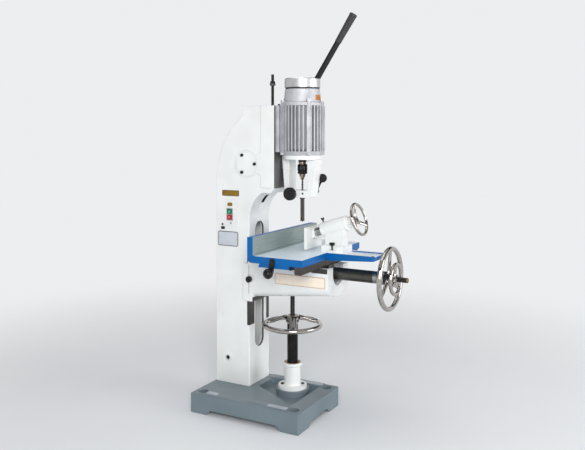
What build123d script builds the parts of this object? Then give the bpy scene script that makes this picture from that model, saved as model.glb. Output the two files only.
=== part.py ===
from build123d import *
import math
import os

os.makedirs("parts", exist_ok=True)

# All sizes are in millimetres. +Z is up, -Y is the operator's side and +X is the operator's right.
# The origin is the centre of the base's four floor bolts, at floor level.
# Heights are above the floor. A reach is a distance in front of the column's front face.
# An offset is a distance to the right of the column's middle plane.

# Fits shared by every pair of pieces
fit_gap = 0.05
end_gap = 0.4
edge_round = 4.0

# Gear teeth, in modules, and the angle of their flanks
tooth_tip = 1.0
tooth_root = 1.25
tooth_backlash = 0.35
pressure_angle = 20.0

# Spokes of the handwheels: half widths as shares of the spoke's width
spoke_count = 3
spoke_root_wide = 0.62
spoke_root_thick = 0.34
spoke_tip_wide = 0.42
spoke_tip_thick = 0.26

# Ball knobs: the flat seat as a share of the ball
ball_seat = 0.5

# Base casting
base_width = 397.0
base_length = 555.0
base_height = 87.0
base_corner = 4.0
base_wall = 14.0
base_deck = 42.0
foot_length = 85.0
foot_width = 95.0
arch_height = 22.0
arch_slope = 24.0
bolt_inset = 42.0
bolt_hole = 18.0
bolt_pocket = 46.0
bolt_seat_height = 34.0
pad_diameter = 154.0
pad_height = 1.0
tray_floor = 63.0
tray_round = 10.0
tray_rear_reach = 36.5
tray_front_reach = 288.0
tray_right = 61.5
tray_left_rear = -63.5
tray_left_front = -207.0

# Column casting
column_width = 181.0
column_depth = 185.0
column_wall = 16.0
column_side_margin = 19.5
column_rear_margin = 6.0
column_top = 1391.0
neck_start = 1050.0
neck_end = 1348.0
neck_setback = 37.0
shoulder_height = 870.0
soffit_reach = 64.0
soffit_slot_width = 26.0
soffit_slot_near = 4.0
soffit_slot_far = 44.0
head_bottom = 988.0
head_reach = 137.0
head_wall = 35.0
head_lip = 25.0
band_proud = 6.0
band_blend = 20.0
band_bridge_width = 90.0
front_slot_width = 77.0
front_slot_bottom = 253.0
front_slot_top = 847.0

# Feed shaft, its pinion and its return spring
feed_setback = 13.0
feed_height = 1122.0
feed_shaft_diameter = 32.0
feed_journal_diameter = 24.0
feed_module = 4.0
feed_teeth = 40
feed_face = 34.0
housing_pad_diameter = 126.0
housing_flange_diameter = 112.0
housing_flange = 8.0
housing_spigot_diameter = 78.0
housing_cup_diameter = 68.0
housing_cup_depth = 22.0
housing_web = 14.0
housing_screw_circle = 92.0
housing_screw_head = 15.0
housing_screw_height = 7.0
housing_screw_count = 3
screw_head_round = 1.5
screw_socket_radius = 4.2
screw_socket_depth = 4.0
bush_wall = 5.0
bush_length = 13.0
right_boss_diameter = 84.0
right_boss_proud = 10.0
spring_strip = 2.0
spring_pitch = 3.4
spring_turns = 4
spring_width = 17.0

# Feed lever
lever_hub_diameter = 58.0
lever_hub_length = 38.0
lever_angle = 57.0
lever_length = 827.0
lever_diameter = 27.0
lever_socket = 22.0
grip_length = 150.0
grip_diameter = 32.0
grip_end_diameter = 37.0

# Switch box and cable gland on the column's left side
switch_setback = 99.0
switch_height = 892.0
switch_plate_width = 70.0
switch_plate_height = 119.0
switch_plate = 5.0
switch_box_width = 50.0
switch_box_height = 96.0
switch_box_depth = 44.0
switch_wall = 4.0
button_width = 26.0
button_height = 23.0
button_gap = 3.5
button_pair_setback = 6.0
button_pair_drop = 10.0
button_proud = 7.0
button_length = 26.0
button_round = 2.0
gland_setback = 112.0
gland_height = 209.0
gland_diameter = 31.0
gland_proud = 9.0
gland_stub_diameter = 22.0
gland_bore = 13.0
gland_bevel = 2.7

# Head slide, its tongue and the rack bar behind the way
head_travel = 95.0
slide_width = 166.0
slide_thickness = 16.0
slide_bottom = 1178.0
tongue_width = 48.0
tongue_bottom = 1195.0
tongue_height = 95.0
rack_bar_width = 86.0
rack_bar_bottom = 1092.0
rack_bar_height = 214.0
depth_rod_diameter = 14.0
depth_rod_offset = -24.0
depth_rod_above = 148.0
depth_rod_socket = 26.0
stop_nut_width = 23.0
stop_nut_height = 10.0

# Motor
motor_radius = 104.0
motor_sink = 25.0
motor_taper = 11.0
motor_bottom = 1164.0
motor_length = 235.0
motor_core = 90.0
motor_bore = 72.0
motor_shield = 22.0
motor_rim = 11.0
fin_count = 36
fin_thickness = 5.0
foot_half_width = 58.0
foot_groove_depth = 7.0
foot_groove_count = 1
lug_radius = 10.0
lug_count = 4
lug_angle = 45.0
tie_bolt_diameter = 10.0
tie_nut_width = 17.0
tie_nut_height = 9.0
bell_height = 69.0
bell_base_radius = 86.0
bell_top_radius = 81.0
bell_wall = 9.0
bell_neck_radius = 72.0
bell_neck = 12.0
cowl_radius = 82.5
cowl_gap = 6.0
cowl_height = 42.0
cowl_wall = 3.0
shaft_diameter = 30.0
bearing_diameter = 62.0
bearing_width = 16.0
stator_height = 120.0
stator_wall = 20.0
rotor_gap = 0.8
rotor_height = 118.0
fan_radius = 66.0
fan_blades = 7
fan_height = 18.0
fan_plate = 4.0
shaft_chamfer = 1.0

# Chuck, bit and chisel
chuck_neck_diameter = 34.0
chuck_neck = 22.0
chuck_diameter = 45.0
chuck_sleeve = 44.0
chuck_cone = 17.0
chuck_nose_diameter = 22.0
chuck_body_wall = 7.0
jaw_length = 9.0
jaw_width = 5.0
jaw_count = 3
chuck_bevel = 2.0
bit_diameter = 9.5
bit_tip = 3.0
chisel_width = 14.0
chisel_bore = 10.5
chisel_tip_height = 859.0
chisel_shank_diameter = 19.0
chisel_collar_diameter = 25.0
chisel_collar = 7.0
chisel_point = 4.0
chisel_bush_diameter = 30.0

# Yoke that hangs the chisel under the motor
yoke_disc_radius = 90.0
yoke_disc = 20.0
yoke_height = 174.0
yoke_width = 66.0
yoke_rear_top = 89.0
yoke_front_top = 87.0
yoke_rear_foot = 74.0
yoke_front_foot = 60.0
yoke_window_rear = 52.0
yoke_window_front = 42.0
yoke_bar = 33.0
clamp_knob_diameter = 60.0
clamp_knob_length = 26.0
clamp_knob_setback = 40.0
clamp_stem_diameter = 12.0
clamp_stem_depth = 20.0
yoke_lever_reach = 52.0
yoke_lever_rise = 22.0
yoke_lever_length = 68.0
yoke_lever_lean = 28.0
yoke_lever_diameter = 11.0
yoke_lever_boss = 22.0
yoke_ball_diameter = 41.0

# Knee
knee_width = 207.0
knee_reach = 414.0
knee_top = 669.0
carriage_top = 660.0
carriage_bottom = 486.0
carriage_plate = 25.0
cheek_depth = 27.0
knee_rear_bottom = 505.0
knee_front_bottom = 546.0
knee_bottom_round = 40.0
knee_front_wall = 17.0
trough_radius = 80.0
trough_rear_reach = 42.0
notch_radius = 52.0
keeper_width = 112.0
keeper_height = 150.0
keeper_plate = 16.0
knee_lock_reach = 13.0
knee_lock_height = 590.0
knee_lock_diameter = 29.0
knee_lock_length = 20.0
knee_lock_stem = 11.0
knee_lock_depth = 12.0
nut_length = 40.0
nut_width = 40.0
nut_seat_height = 585.0
nut_over_axis = 20.0

# Lift screw, handwheel and pedestal
lift_reach = 180.0
lift_screw_diameter = 22.0
lift_screw_seat = 22.0
lift_screw_tail = 80.0
lift_boss_diameter = 52.0
lift_boss_drop = 6.0
lift_wheel_diameter = 280.0
lift_wheel_rim = 22.0
lift_wheel_dish = 26.0
lift_hub_diameter = 62.0
lift_hub_length = 36.0
lift_spoke = 36.0
lift_nut_wall = 8.0
pedestal_flange_diameter = 132.0
pedestal_flange = 14.0
pedestal_neck_diameter = 77.0
pedestal_height = 117.0
pedestal_lip_diameter = 94.0
pedestal_lip = 12.0
pedestal_bore = 34.0
lift_tube_diameter = 50.0
lift_tube_bore = 30.0
lift_tube_socket = 14.0
lift_tube_above = 180.0

# Saddle and the feed tube
saddle_slab = 21.0
saddle_rear_reach = 160.0
saddle_front_reach = 345.0
saddle_key = 9.0
hanger_radius = 36.0
hanger_rear_reach = 235.0
dovetail_height = 13.0
dovetail_top_width = 112.0
dovetail_undercut = 7.0
feed_tube_diameter = 54.0
feed_tube_journal = 40.0
feed_tube_front_reach = 640.0
tube_collar_diameter = 60.0
tube_collar = 16.0
tube_nose_diameter = 34.0
cross_screw_diameter = 22.0
cross_in_travel = 18.0
cross_out_travel = 50.0
cross_screw_front_reach = 744.0
traverse_module = 3.0
traverse_teeth = 26
traverse_face = 28.0

# Large and small feed handwheels
traverse_wheel_diameter = 280.0
traverse_wheel_rim = 22.0
traverse_wheel_dish = 8.0
traverse_hub_diameter = 60.0
traverse_hub_length = 30.0
traverse_spoke = 24.0
cross_wheel_diameter = 144.0
cross_wheel_rim = 16.0
cross_wheel_dish = 4.0
cross_hub_diameter = 40.0
cross_hub_length = 26.0
cross_spoke = 19.5

# Table
table_length = 590.0
table_thickness = 30.0
table_front_reach = 388.0
fence_rear_reach = 118.0
fence_thickness = 38.0
fence_height = 80.0
fence_heel_round = 22.0
way_block_height = 15.0
way_block_rear_reach = 174.0
way_block_front_reach = 343.0
way_block_lean = 6.0
rack_depth = 31.0
rack_height = 34.0
arm_width = 128.0
arm_reach = 611.0
arm_root = 34.0
arm_end = 22.0
arm_corner = 10.0
arm_channel = 5.0
table_lever_reach = 246.0
table_lever_drop = 14.0
table_lever_width = 24.0
table_lever_length = 50.0
table_lever_thickness = 8.0
table_lever_lean = 8.0
table_lever_boss = 8.0
table_ball_diameter = 44.0

# Vise
vise_tilt = 18.4
jaw_reach = 281.0
jaw_axis_above = 71.0
jaw_width_across = 155.0
jaw_height = 97.0
jaw_above_table = 8.0
jaw_thickness = 14.0
jaw_boss_diameter = 54.0
jaw_boss = 10.0
ram_diameter = 38.0
ram_hidden = 96.0
ram_travel = 20.0
vise_barrel_diameter = 68.0
vise_barrel_start = 60.0
vise_barrel_length = 132.0
vise_cap_diameter = 56.0
vise_cap = 12.0
vise_ring_diameter = 42.0
vise_ring = 10.0
vise_foot_rear = 352.0
vise_foot_front = 460.0
vise_foot_width = 100.0
vise_foot_height = 28.0
vise_neck_width = 46.0
vise_neck_inset = 8.0
vise_ear = 15.0
vise_ear_height = 12.0
vise_ear_length = 40.0
vise_wheel_diameter = 152.0
vise_wheel_rim = 13.0
vise_wheel_dish = 21.0
vise_hub_diameter = 34.0
vise_hub_length = 24.0
vise_spoke = 18.0
vise_screw_diameter = 18.0
vise_lock_reach = 411.0
vise_lock_diameter = 25.0
vise_lock_knob = 14.0
vise_lock_stem = 7.0
vise_lock_rise = 20.0

# Places worked out from the sizes above
column_x = base_width / 2 - column_side_margin - column_width / 2
column_rear_y = base_length / 2 - column_rear_margin
column_front_y = column_rear_y - column_depth
side = column_width / 2


def ahead(reach):
    """The Y of a point this far in front of the column's front face."""
    return column_front_y - reach


def across(offset_x):
    """The X of a point this far to the right of the column's middle plane."""
    return column_x + offset_x


def middle_axis(reach):
    """A plane at floor level whose normal is the upright line this far in front of the column."""
    return Plane(origin=(column_x, ahead(reach), 0))


def section_plane(axis_plane):
    """The plane for half a turned outline: local X is the radius, local Y runs along the axis."""
    return Plane(origin=axis_plane.origin, x_dir=axis_plane.x_dir, z_dir=-axis_plane.y_dir)


def turn(axis_plane, outline, mode=Mode.ADD):
    """Spin a closed outline of (radius, height) points about the normal of a plane."""
    with BuildSketch(section_plane(axis_plane)) as half:
        with BuildLine():
            Polyline(*outline, close=True)
        make_face()
    revolve(half.sketch, axis=Axis(axis_plane.origin, axis_plane.z_dir), mode=mode)


def ring(axis_plane, outer, inner, low, high, mode=Mode.ADD):
    """A plain sleeve about the normal of a plane, from one height to another."""
    turn(axis_plane, [(inner, low), (outer, low), (outer, high), (inner, high)], mode)


def ball(axis_plane, diameter):
    """A ball knob about the normal of a plane through its centre, cut flat where its lever enters."""
    radius = diameter / 2
    seat = radius * ball_seat
    seat_height = -math.sqrt(radius**2 - seat**2)
    with BuildSketch(section_plane(axis_plane)) as half:
        with BuildLine():
            Polyline((0, radius), (0, seat_height), (seat, seat_height))
            ThreePointArc((seat, seat_height), (radius, 0), (0, radius))
        make_face()
    revolve(half.sketch, axis=Axis(axis_plane.origin, axis_plane.z_dir))


def prism(plane, outline, depth, mode=Mode.ADD):
    """A closed outline drawn on a plane and drawn out along its normal."""
    with BuildSketch(plane) as face:
        with BuildLine():
            Polyline(*outline, close=True)
        make_face()
    extrude(face.sketch, amount=depth, mode=mode)


def block(x_low, x_high, y_low, y_high, z_low, z_high, mode=Mode.ADD):
    """A square block between two corners."""
    outline = [(x_low, y_low), (x_high, y_low), (x_high, y_high), (x_low, y_high)]
    prism(Plane.XY.offset(z_low), outline, z_high - z_low, mode)


def gear(axis_plane, module, teeth, face, bore, low):
    """A spur pinion with involute flanks, one tooth centred on the plane's local X."""
    pressure = math.radians(pressure_angle)
    pitch_radius = module * teeth / 2
    tip = pitch_radius + tooth_tip * module
    root = pitch_radius - tooth_root * module
    base_circle = pitch_radius * math.cos(pressure)
    half_tooth = math.pi / (2 * teeth) - tooth_backlash / (2 * pitch_radius)
    start = max(base_circle, root)

    def flank(radius):
        """Half the angle that a tooth fills at a radius."""
        angle = math.acos(min(1.0, base_circle / radius))
        lean = math.tan(pressure) - pressure - math.tan(angle) + angle
        return half_tooth + lean

    def point(radius, angle):
        """A point of the outline at a radius and an angle."""
        return (radius * math.cos(angle), radius * math.sin(angle))

    with BuildSketch(axis_plane.offset(low)) as outline:
        with BuildLine():
            for tooth in range(teeth):
                centre = 2 * math.pi * tooth / teeth
                following = 2 * math.pi * (tooth + 1) / teeth
                middle = (start + tip) / 2
                rising = [point(r, centre - flank(r)) for r in (start, middle, tip)]
                falling = [point(r, centre + flank(r)) for r in (tip, middle, start)]
                foot_before = point(root, centre - flank(start))
                foot_after = point(root, centre + flank(start))
                next_foot = point(root, following - flank(start))
                Line(foot_before, rising[0])
                ThreePointArc(*rising)
                Line(rising[2], falling[0])
                ThreePointArc(*falling)
                Line(falling[2], foot_after)
                Line(foot_after, next_foot)
        make_face()
        Circle(bore, mode=Mode.SUBTRACT)
    extrude(outline.sketch, amount=face)


def rack_outline(module, first, count, back):
    """The outline of a rack's side: (along, depth) points, with its tips at depth 0."""
    pressure = math.radians(pressure_angle)
    pitch = math.pi * module
    tip_half = pitch / 4 - tooth_tip * module * math.tan(pressure)
    root_half = pitch / 4 + tooth_root * module * math.tan(pressure)
    depth = (tooth_tip + tooth_root) * module
    outline = [(first - pitch / 2, back), (first - pitch / 2, depth)]
    for tooth in range(count):
        centre = first + tooth * pitch
        outline += [(centre - root_half, depth), (centre - tip_half, 0)]
        outline += [(centre + tip_half, 0), (centre + root_half, depth)]
    end = first + count * pitch - pitch / 2
    return outline + [(end, depth), (end, back)]


def spoke(axis_plane, angle, inner, inner_height, outer, outer_height, width):
    """One oval spoke of a handwheel, from the hub out to the rim, wider at the hub."""
    along = axis_plane.x_dir * math.cos(angle) + axis_plane.y_dir * math.sin(angle)
    start = axis_plane.origin + along * inner + axis_plane.z_dir * inner_height
    finish = axis_plane.origin + along * outer + axis_plane.z_dir * outer_height
    direction = finish - start
    sideways = axis_plane.z_dir.cross(along)
    with BuildSketch(Plane(origin=start, x_dir=sideways, z_dir=direction)) as hub_end:
        Ellipse(width * spoke_root_wide, width * spoke_root_thick)
    with BuildSketch(Plane(origin=finish, x_dir=sideways, z_dir=direction)) as rim_end:
        Ellipse(width * spoke_tip_wide, width * spoke_tip_thick)
    loft([hub_end.sketch.face(), rim_end.sketch.face()])


def handwheel(axis_plane, diameter, rim, dish, hub_diameter, hub_low, hub_length, bore, width):
    """A handwheel about a plane's normal: round rim at the plane, spokes and a bored hub."""
    rim_centre = diameter / 2 - rim / 2
    hub_middle = hub_low + hub_length / 2
    with BuildSketch(section_plane(axis_plane)) as rim_section:
        with Locations((rim_centre, 0)):
            Circle(rim / 2)
    revolve(rim_section.sketch, axis=Axis(axis_plane.origin, axis_plane.z_dir))
    ring(axis_plane, hub_diameter / 2, bore, hub_low, hub_low + hub_length)
    for arm in range(spoke_count):
        angle = math.pi / 2 + arm * 2 * math.pi / spoke_count
        root_radius = (bore + hub_diameter / 2) / 2
        spoke(axis_plane, angle, root_radius, hub_middle + dish / 4, rim_centre, 0, width)
    ring(axis_plane, bore, 0, hub_low - dish, hub_low + hub_length + dish, Mode.SUBTRACT)


def save(builder, name):
    """Label a finished piece and write it as one STEP file."""
    builder.part.label = name
    export_step(builder.part, f"parts/{name}.step")


# Axes of the turning pieces
pedestal_seat = base_height + pad_height
lift_axis = middle_axis(lift_reach)
spindle_reach = head_reach + fit_gap + slide_thickness + motor_radius - motor_sink
spindle_axis = middle_axis(spindle_reach)
feed_origin = (column_x, ahead(-feed_setback), feed_height)
feed_axis = Plane(origin=feed_origin, x_dir=(0, -1, 0), z_dir=(1, 0, 0))

# The table stands on the saddle and the saddle on the knee, so their heights add up
saddle_low = knee_top + fit_gap
way_low = saddle_low + saddle_slab
block_low = way_low + fit_gap
table_low = block_low + way_block_height
table_top = table_low + table_thickness
rack_tip_height = table_low - rack_height
traverse_radius = traverse_module * traverse_teeth / 2
tube_height = rack_tip_height + tooth_tip * traverse_module - traverse_radius
tube_axis = Plane(origin=(column_x, column_front_y, tube_height), x_dir=(1, 0, 0), z_dir=(0, -1, 0))
vise_lean = math.radians(vise_tilt)
vise_direction = (0, -math.cos(vise_lean), math.sin(vise_lean))
vise_origin = (column_x, ahead(jaw_reach), table_top + jaw_axis_above)
vise_axis = Plane(origin=vise_origin, x_dir=(1, 0, 0), z_dir=vise_direction)

# Base: a hollow casting on four feet, with a tray, a pad for the pedestal and a pocket over each bolt
with BuildPart() as base:
    with BuildSketch():
        RectangleRounded(base_width, base_length, base_corner)
    extrude(amount=base_height)
    fillet(base.faces().sort_by(Axis.Z)[-1].edges(), edge_round)
    with BuildSketch():
        Rectangle(base_width - 2 * base_wall, base_length - 2 * foot_length)
        Rectangle(base_width - 2 * foot_width, base_length - 2 * base_wall)
    extrude(amount=base_height - base_deck, mode=Mode.SUBTRACT)
    for plane, span, through in (
        (Plane.YZ.offset(-base_width), base_length - 2 * foot_length, 2 * base_width),
        (Plane.XZ.offset(-base_length), base_width - 2 * foot_width, 2 * base_length),
    ):
        arch = [(-span / 2, 0), (span / 2, 0)]
        arch += [(span / 2 - arch_slope, arch_height), (arch_slope - span / 2, arch_height)]
        prism(plane, arch, through, Mode.SUBTRACT)
    # Tray sunk in the top, with the pedestal's pad standing in it
    with BuildSketch(Plane.XY.offset(tray_floor)) as tray:
        with BuildLine():
            Polyline(
                (across(tray_right), ahead(tray_rear_reach)),
                (across(tray_left_rear), ahead(tray_rear_reach)),
                (across(tray_left_front), ahead(tray_front_reach)),
                (across(tray_right), ahead(tray_front_reach)),
                close=True,
            )
        make_face()
        fillet(tray.vertices(), tray_round)
    extrude(amount=base_height, mode=Mode.SUBTRACT)
    with BuildSketch(Plane.XY.offset(tray_floor)):
        with Locations((column_x, ahead(lift_reach))):
            Circle(pad_diameter / 2)
    extrude(amount=pedestal_seat - tray_floor)
    with Locations((0, 0, base_height)):
        with GridLocations(base_width - 2 * bolt_inset, base_length - 2 * bolt_inset, 2, 2):
            CounterBoreHole(bolt_hole / 2, bolt_pocket / 2, base_height - bolt_seat_height)
save(base, "base")

# Column: a hollow casting whose neck curves forward into the head way
left_face = across(-side)
feed_pitch_radius = feed_module * feed_teeth / 2
rack_pitch_reach = feed_pitch_radius - feed_setback
rack_tip_reach = rack_pitch_reach - tooth_tip * feed_module
rack_root_reach = rack_tip_reach + (tooth_tip + tooth_root) * feed_module
way_inside_reach = head_reach - head_wall
rack_front_reach = way_inside_reach - fit_gap
rod_reach = (rack_root_reach + rack_front_reach) / 2
right_bush_radius = feed_shaft_diameter / 2 + bush_wall
with BuildPart() as column:
    with BuildSketch(Plane.YZ.offset(left_face)) as outline:
        with BuildLine():
            Polyline(
                (ahead(0), shoulder_height),
                (ahead(0), base_height),
                (column_rear_y, base_height),
                (column_rear_y, neck_start),
            )
            TangentArc(
                (column_rear_y, neck_start),
                (ahead(-neck_setback), neck_end),
                tangent=(0, 1),
            )
            Polyline(
                (ahead(-neck_setback), neck_end),
                (ahead(-neck_setback), column_top),
                (ahead(head_reach), column_top),
                (ahead(head_reach), head_bottom + head_lip),
                (ahead(head_reach - head_lip), head_bottom),
                (ahead(soffit_reach), head_bottom),
            )
            TangentArc(
                (ahead(0), shoulder_height),
                (ahead(soffit_reach), head_bottom),
                tangent=(0, 1),
            )
        make_face()
    extrude(amount=column_width)
    side_faces = column.faces().filter_by(Axis.X)
    long_edges = [e for e in side_faces.edges() if e.center().Z > base_height + edge_round]
    fillet(long_edges, edge_round)
    # The hollow follows the outline at one wall thickness
    with BuildSketch(Plane.YZ.offset(left_face + column_wall)):
        add(outline.sketch_local)
        offset(amount=-column_wall, kind=Kind.INTERSECTION)
    extrude(amount=column_width - 2 * column_wall, mode=Mode.SUBTRACT)
    # The wall that carries the way is thicker than the rest
    block(
        left_face + column_wall / 2,
        across(side - column_wall / 2),
        ahead(head_reach - column_wall / 2),
        ahead(way_inside_reach),
        head_bottom + head_lip,
        column_top - column_wall / 2,
    )
    # Raised bands beside the way, with the round pad of the spring housing joined to the left one
    band_edge = ahead(soffit_reach)
    band_end = ahead(head_reach)
    band_middle = (band_edge + band_end) / 2
    band_rise = column_top - head_bottom - head_lip
    with BuildSketch(Plane.YZ.offset(left_face - band_proud)) as left_band:
        with Locations((band_middle, head_bottom + head_lip + band_rise / 2)):
            Rectangle(band_edge - band_end, band_rise)
        with Locations((ahead(-feed_setback), feed_height)):
            Circle(housing_pad_diameter / 2)
        with Locations(((ahead(-feed_setback) + band_edge) / 2, feed_height)):
            Rectangle(feed_setback + soffit_reach, band_bridge_width)
        near = [v for v in left_band.vertices() if abs(v.Y - feed_height) < housing_pad_diameter / 2]
        fillet([v for v in near if v.X < ahead(-feed_setback)], band_blend)
    extrude(amount=band_proud + column_wall / 2)
    block(
        across(side - column_wall / 2),
        across(side + band_proud),
        band_end,
        band_edge,
        head_bottom + head_lip,
        column_top,
    )
    # Boss of the right-hand bush
    ring(feed_axis, right_boss_diameter / 2, 0, side - column_wall, side + right_boss_proud)
    # Bores of the feed shaft and the recess of the spring housing
    ring(feed_axis, right_bush_radius, 0, 0, side + 2 * right_boss_proud, Mode.SUBTRACT)
    ring(feed_axis, housing_spigot_diameter / 2 + fit_gap, 0, -2 * side, 0, Mode.SUBTRACT)
    pad_face = -side - band_proud
    ring(
        feed_axis,
        housing_flange_diameter / 2 + fit_gap,
        0,
        pad_face - housing_flange,
        pad_face + housing_flange,
        Mode.SUBTRACT,
    )
    # Long slot in the lower front that the knee's tongue runs in
    slot_middle = (front_slot_bottom + front_slot_top) / 2
    with BuildSketch(Plane.XZ.offset(-column_front_y)):
        with Locations((column_x, slot_middle)):
            SlotOverall(front_slot_top - front_slot_bottom, front_slot_width, rotation=90)
    extrude(amount=-column_wall, mode=Mode.SUBTRACT)
    # Slot in the way for the head's tongue, and the open soffit under the rack bar
    block(
        across(-tongue_width / 2 - fit_gap),
        across(tongue_width / 2 + fit_gap),
        ahead(head_reach),
        ahead(way_inside_reach - fit_gap),
        tongue_bottom - head_travel - end_gap,
        tongue_bottom + tongue_height + end_gap,
        Mode.SUBTRACT,
    )
    block(
        across(-rack_bar_width / 2 - 4 * end_gap),
        across(rack_bar_width / 2 + 4 * end_gap),
        ahead(way_inside_reach),
        ahead(rack_tip_reach - feed_module),
        head_bottom - column_wall,
        head_bottom + head_lip + 2 * column_wall,
        Mode.SUBTRACT,
    )
    # Slot in the arched soffit
    block(
        across(-soffit_slot_width / 2),
        across(soffit_slot_width / 2),
        ahead(soffit_slot_far),
        ahead(soffit_slot_near),
        shoulder_height,
        head_bottom + 2 * column_wall,
        Mode.SUBTRACT,
    )
    # Hole for the depth rod in the top
    with Locations((across(depth_rod_offset), ahead(rod_reach), column_top)):
        Hole(depth_rod_diameter / 2 + fit_gap, 2 * column_wall)
    # Openings for the switch box and the cable gland
    block(
        left_face - column_wall,
        left_face + column_wall,
        ahead(-switch_setback) - switch_box_width / 2,
        ahead(-switch_setback) + switch_box_width / 2,
        switch_height - switch_box_height / 2,
        switch_height + switch_box_height / 2,
        Mode.SUBTRACT,
    )
    gland_origin = (left_face, ahead(-gland_setback), gland_height)
    gland_axis = Plane(origin=gland_origin, x_dir=(0, 1, 0), z_dir=(-1, 0, 0))
    ring(gland_axis, gland_stub_diameter / 2 + fit_gap, 0, -2 * column_wall, column_wall, Mode.SUBTRACT)
save(column, "column")

# Spring housing: a flanged cup let into the left side, with a blind seat for the shaft's bush
cup_start = pad_face + housing_flange + housing_web
journal_bush_radius = feed_journal_diameter / 2 + bush_wall
with BuildPart() as spring_housing:
    turn(
        feed_axis,
        [
            (0, pad_face),
            (housing_flange_diameter / 2, pad_face),
            (housing_flange_diameter / 2, pad_face + housing_flange),
            (housing_spigot_diameter / 2, pad_face + housing_flange),
            (housing_spigot_diameter / 2, cup_start + housing_cup_depth),
            (housing_cup_diameter / 2, cup_start + housing_cup_depth),
            (housing_cup_diameter / 2, cup_start),
            (journal_bush_radius, cup_start),
            (journal_bush_radius, cup_start - bush_length),
            (0, cup_start - bush_length),
        ],
    )
save(spring_housing, "spring_housing")

with BuildPart() as housing_screws:
    screw_plane = Plane(
        origin=(across(pad_face), feed_origin[1], feed_origin[2]), x_dir=(0, -1, 0), z_dir=(-1, 0, 0)
    )
    with BuildSketch(screw_plane):
        with PolarLocations(housing_screw_circle / 2, housing_screw_count):
            Circle(housing_screw_head / 2)
    extrude(amount=housing_screw_height)
    fillet(housing_screws.faces().sort_by(Axis.X)[:housing_screw_count].edges(), screw_head_round)
    with BuildSketch(screw_plane.offset(housing_screw_height)):
        with PolarLocations(housing_screw_circle / 2, housing_screw_count):
            RegularPolygon(screw_socket_radius, 6)
    extrude(amount=-screw_socket_depth, mode=Mode.SUBTRACT)
save(housing_screws, "housing_screws")

# Flat spiral spring that lifts the head again, wound in half turns about the feed shaft
spring_step = spring_pitch / 2
spring_first = feed_shaft_diameter / 2 + 2 * fit_gap + spring_step / 2
spring_last = spring_first + (2 * spring_turns - 1) * spring_step
with BuildPart() as return_spring:
    with BuildSketch(feed_axis.offset(cup_start + (housing_cup_depth - spring_width) / 2)):
        with BuildLine():
            for skin in (0, spring_strip):
                for half in range(2 * spring_turns):
                    odd = half % 2
                    centre = spring_step * odd - spring_step / 2
                    CenterArc((centre, 0), spring_first + half * spring_step + skin, 180 * odd, 180)
            for tip in (spring_first - spring_step / 2, spring_last + spring_step / 2):
                Line((tip, 0), (tip + spring_strip, 0))
        make_face()
    extrude(amount=spring_width)
save(return_spring, "return_spring")

# Bronze bushes of the feed shaft
with BuildPart() as shaft_bushes:
    ring(
        feed_axis,
        journal_bush_radius,
        feed_journal_diameter / 2 + fit_gap,
        cup_start - bush_length,
        cup_start,
    )
    ring(
        feed_axis,
        right_bush_radius,
        feed_shaft_diameter / 2 + fit_gap,
        side - column_wall,
        side + right_boss_proud,
    )
save(shaft_bushes, "shaft_bushes")

# Switch box: a plate on the column's side with a box behind it and two button openings
button_centre_setback = switch_setback + button_pair_setback
button_pair_height = switch_height - button_pair_drop
button_step = button_height + button_gap
with BuildPart() as switch_box:
    block(
        left_face - switch_plate,
        left_face,
        ahead(-switch_setback) - switch_plate_width / 2,
        ahead(-switch_setback) + switch_plate_width / 2,
        switch_height - switch_plate_height / 2,
        switch_height + switch_plate_height / 2,
    )
    fillet(switch_box.edges().filter_by(Axis.X), edge_round)
    block(
        left_face,
        left_face + switch_box_depth,
        ahead(-switch_setback) - switch_box_width / 2 + fit_gap,
        ahead(-switch_setback) + switch_box_width / 2 - fit_gap,
        switch_height - switch_box_height / 2 + fit_gap,
        switch_height + switch_box_height / 2 - fit_gap,
    )
    block(
        left_face,
        left_face + switch_box_depth - switch_wall,
        ahead(-switch_setback) - switch_box_width / 2 + switch_wall,
        ahead(-switch_setback) + switch_box_width / 2 - switch_wall,
        switch_height - switch_box_height / 2 + switch_wall,
        switch_height + switch_box_height / 2 - switch_wall,
        Mode.SUBTRACT,
    )
    with BuildSketch(Plane.YZ.offset(left_face - switch_plate)):
        with Locations((ahead(-button_centre_setback), button_pair_height)):
            with GridLocations(button_step, button_step, 1, 2):
                Rectangle(button_width + 4 * fit_gap, button_height + 4 * fit_gap)
    extrude(amount=switch_plate, mode=Mode.SUBTRACT)
save(switch_box, "switch_box")

for name, level in (("start_button", 1), ("stop_button", -1)):
    with BuildPart() as button:
        with BuildSketch(Plane.YZ.offset(left_face - switch_plate - button_proud)):
            with Locations((ahead(-button_centre_setback), button_pair_height + level * button_step / 2)):
                Rectangle(button_width, button_height)
        extrude(amount=button_length)
        fillet(button.faces().sort_by(Axis.X)[0].edges(), button_round)
    save(button, name)

# Cable gland: a stepped sleeve through the column's side
with BuildPart() as cable_gland:
    turn(
        gland_axis,
        [
            (gland_bore / 2, -column_wall - gland_proud),
            (gland_stub_diameter / 2, -column_wall - gland_proud),
            (gland_stub_diameter / 2, 0),
            (gland_diameter / 2, 0),
            (gland_diameter / 2, gland_proud - gland_bevel),
            (gland_diameter / 2 - gland_bevel, gland_proud),
            (gland_bore / 2, gland_proud),
        ],
    )
save(cable_gland, "cable_gland")

# Feed shaft with its journal in the housing and its seat for the lever hub
hub_low = side + right_boss_proud + end_gap
hub_high = hub_low + lever_hub_length
with BuildPart() as feed_shaft:
    turn(
        feed_axis,
        [
            (0, cup_start - bush_length + end_gap),
            (feed_journal_diameter / 2, cup_start - bush_length + end_gap),
            (feed_journal_diameter / 2, cup_start + end_gap),
            (feed_shaft_diameter / 2, cup_start + end_gap),
            (feed_shaft_diameter / 2, hub_high - edge_round),
            (0, hub_high - edge_round),
        ],
    )
save(feed_shaft, "feed_shaft")

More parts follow.
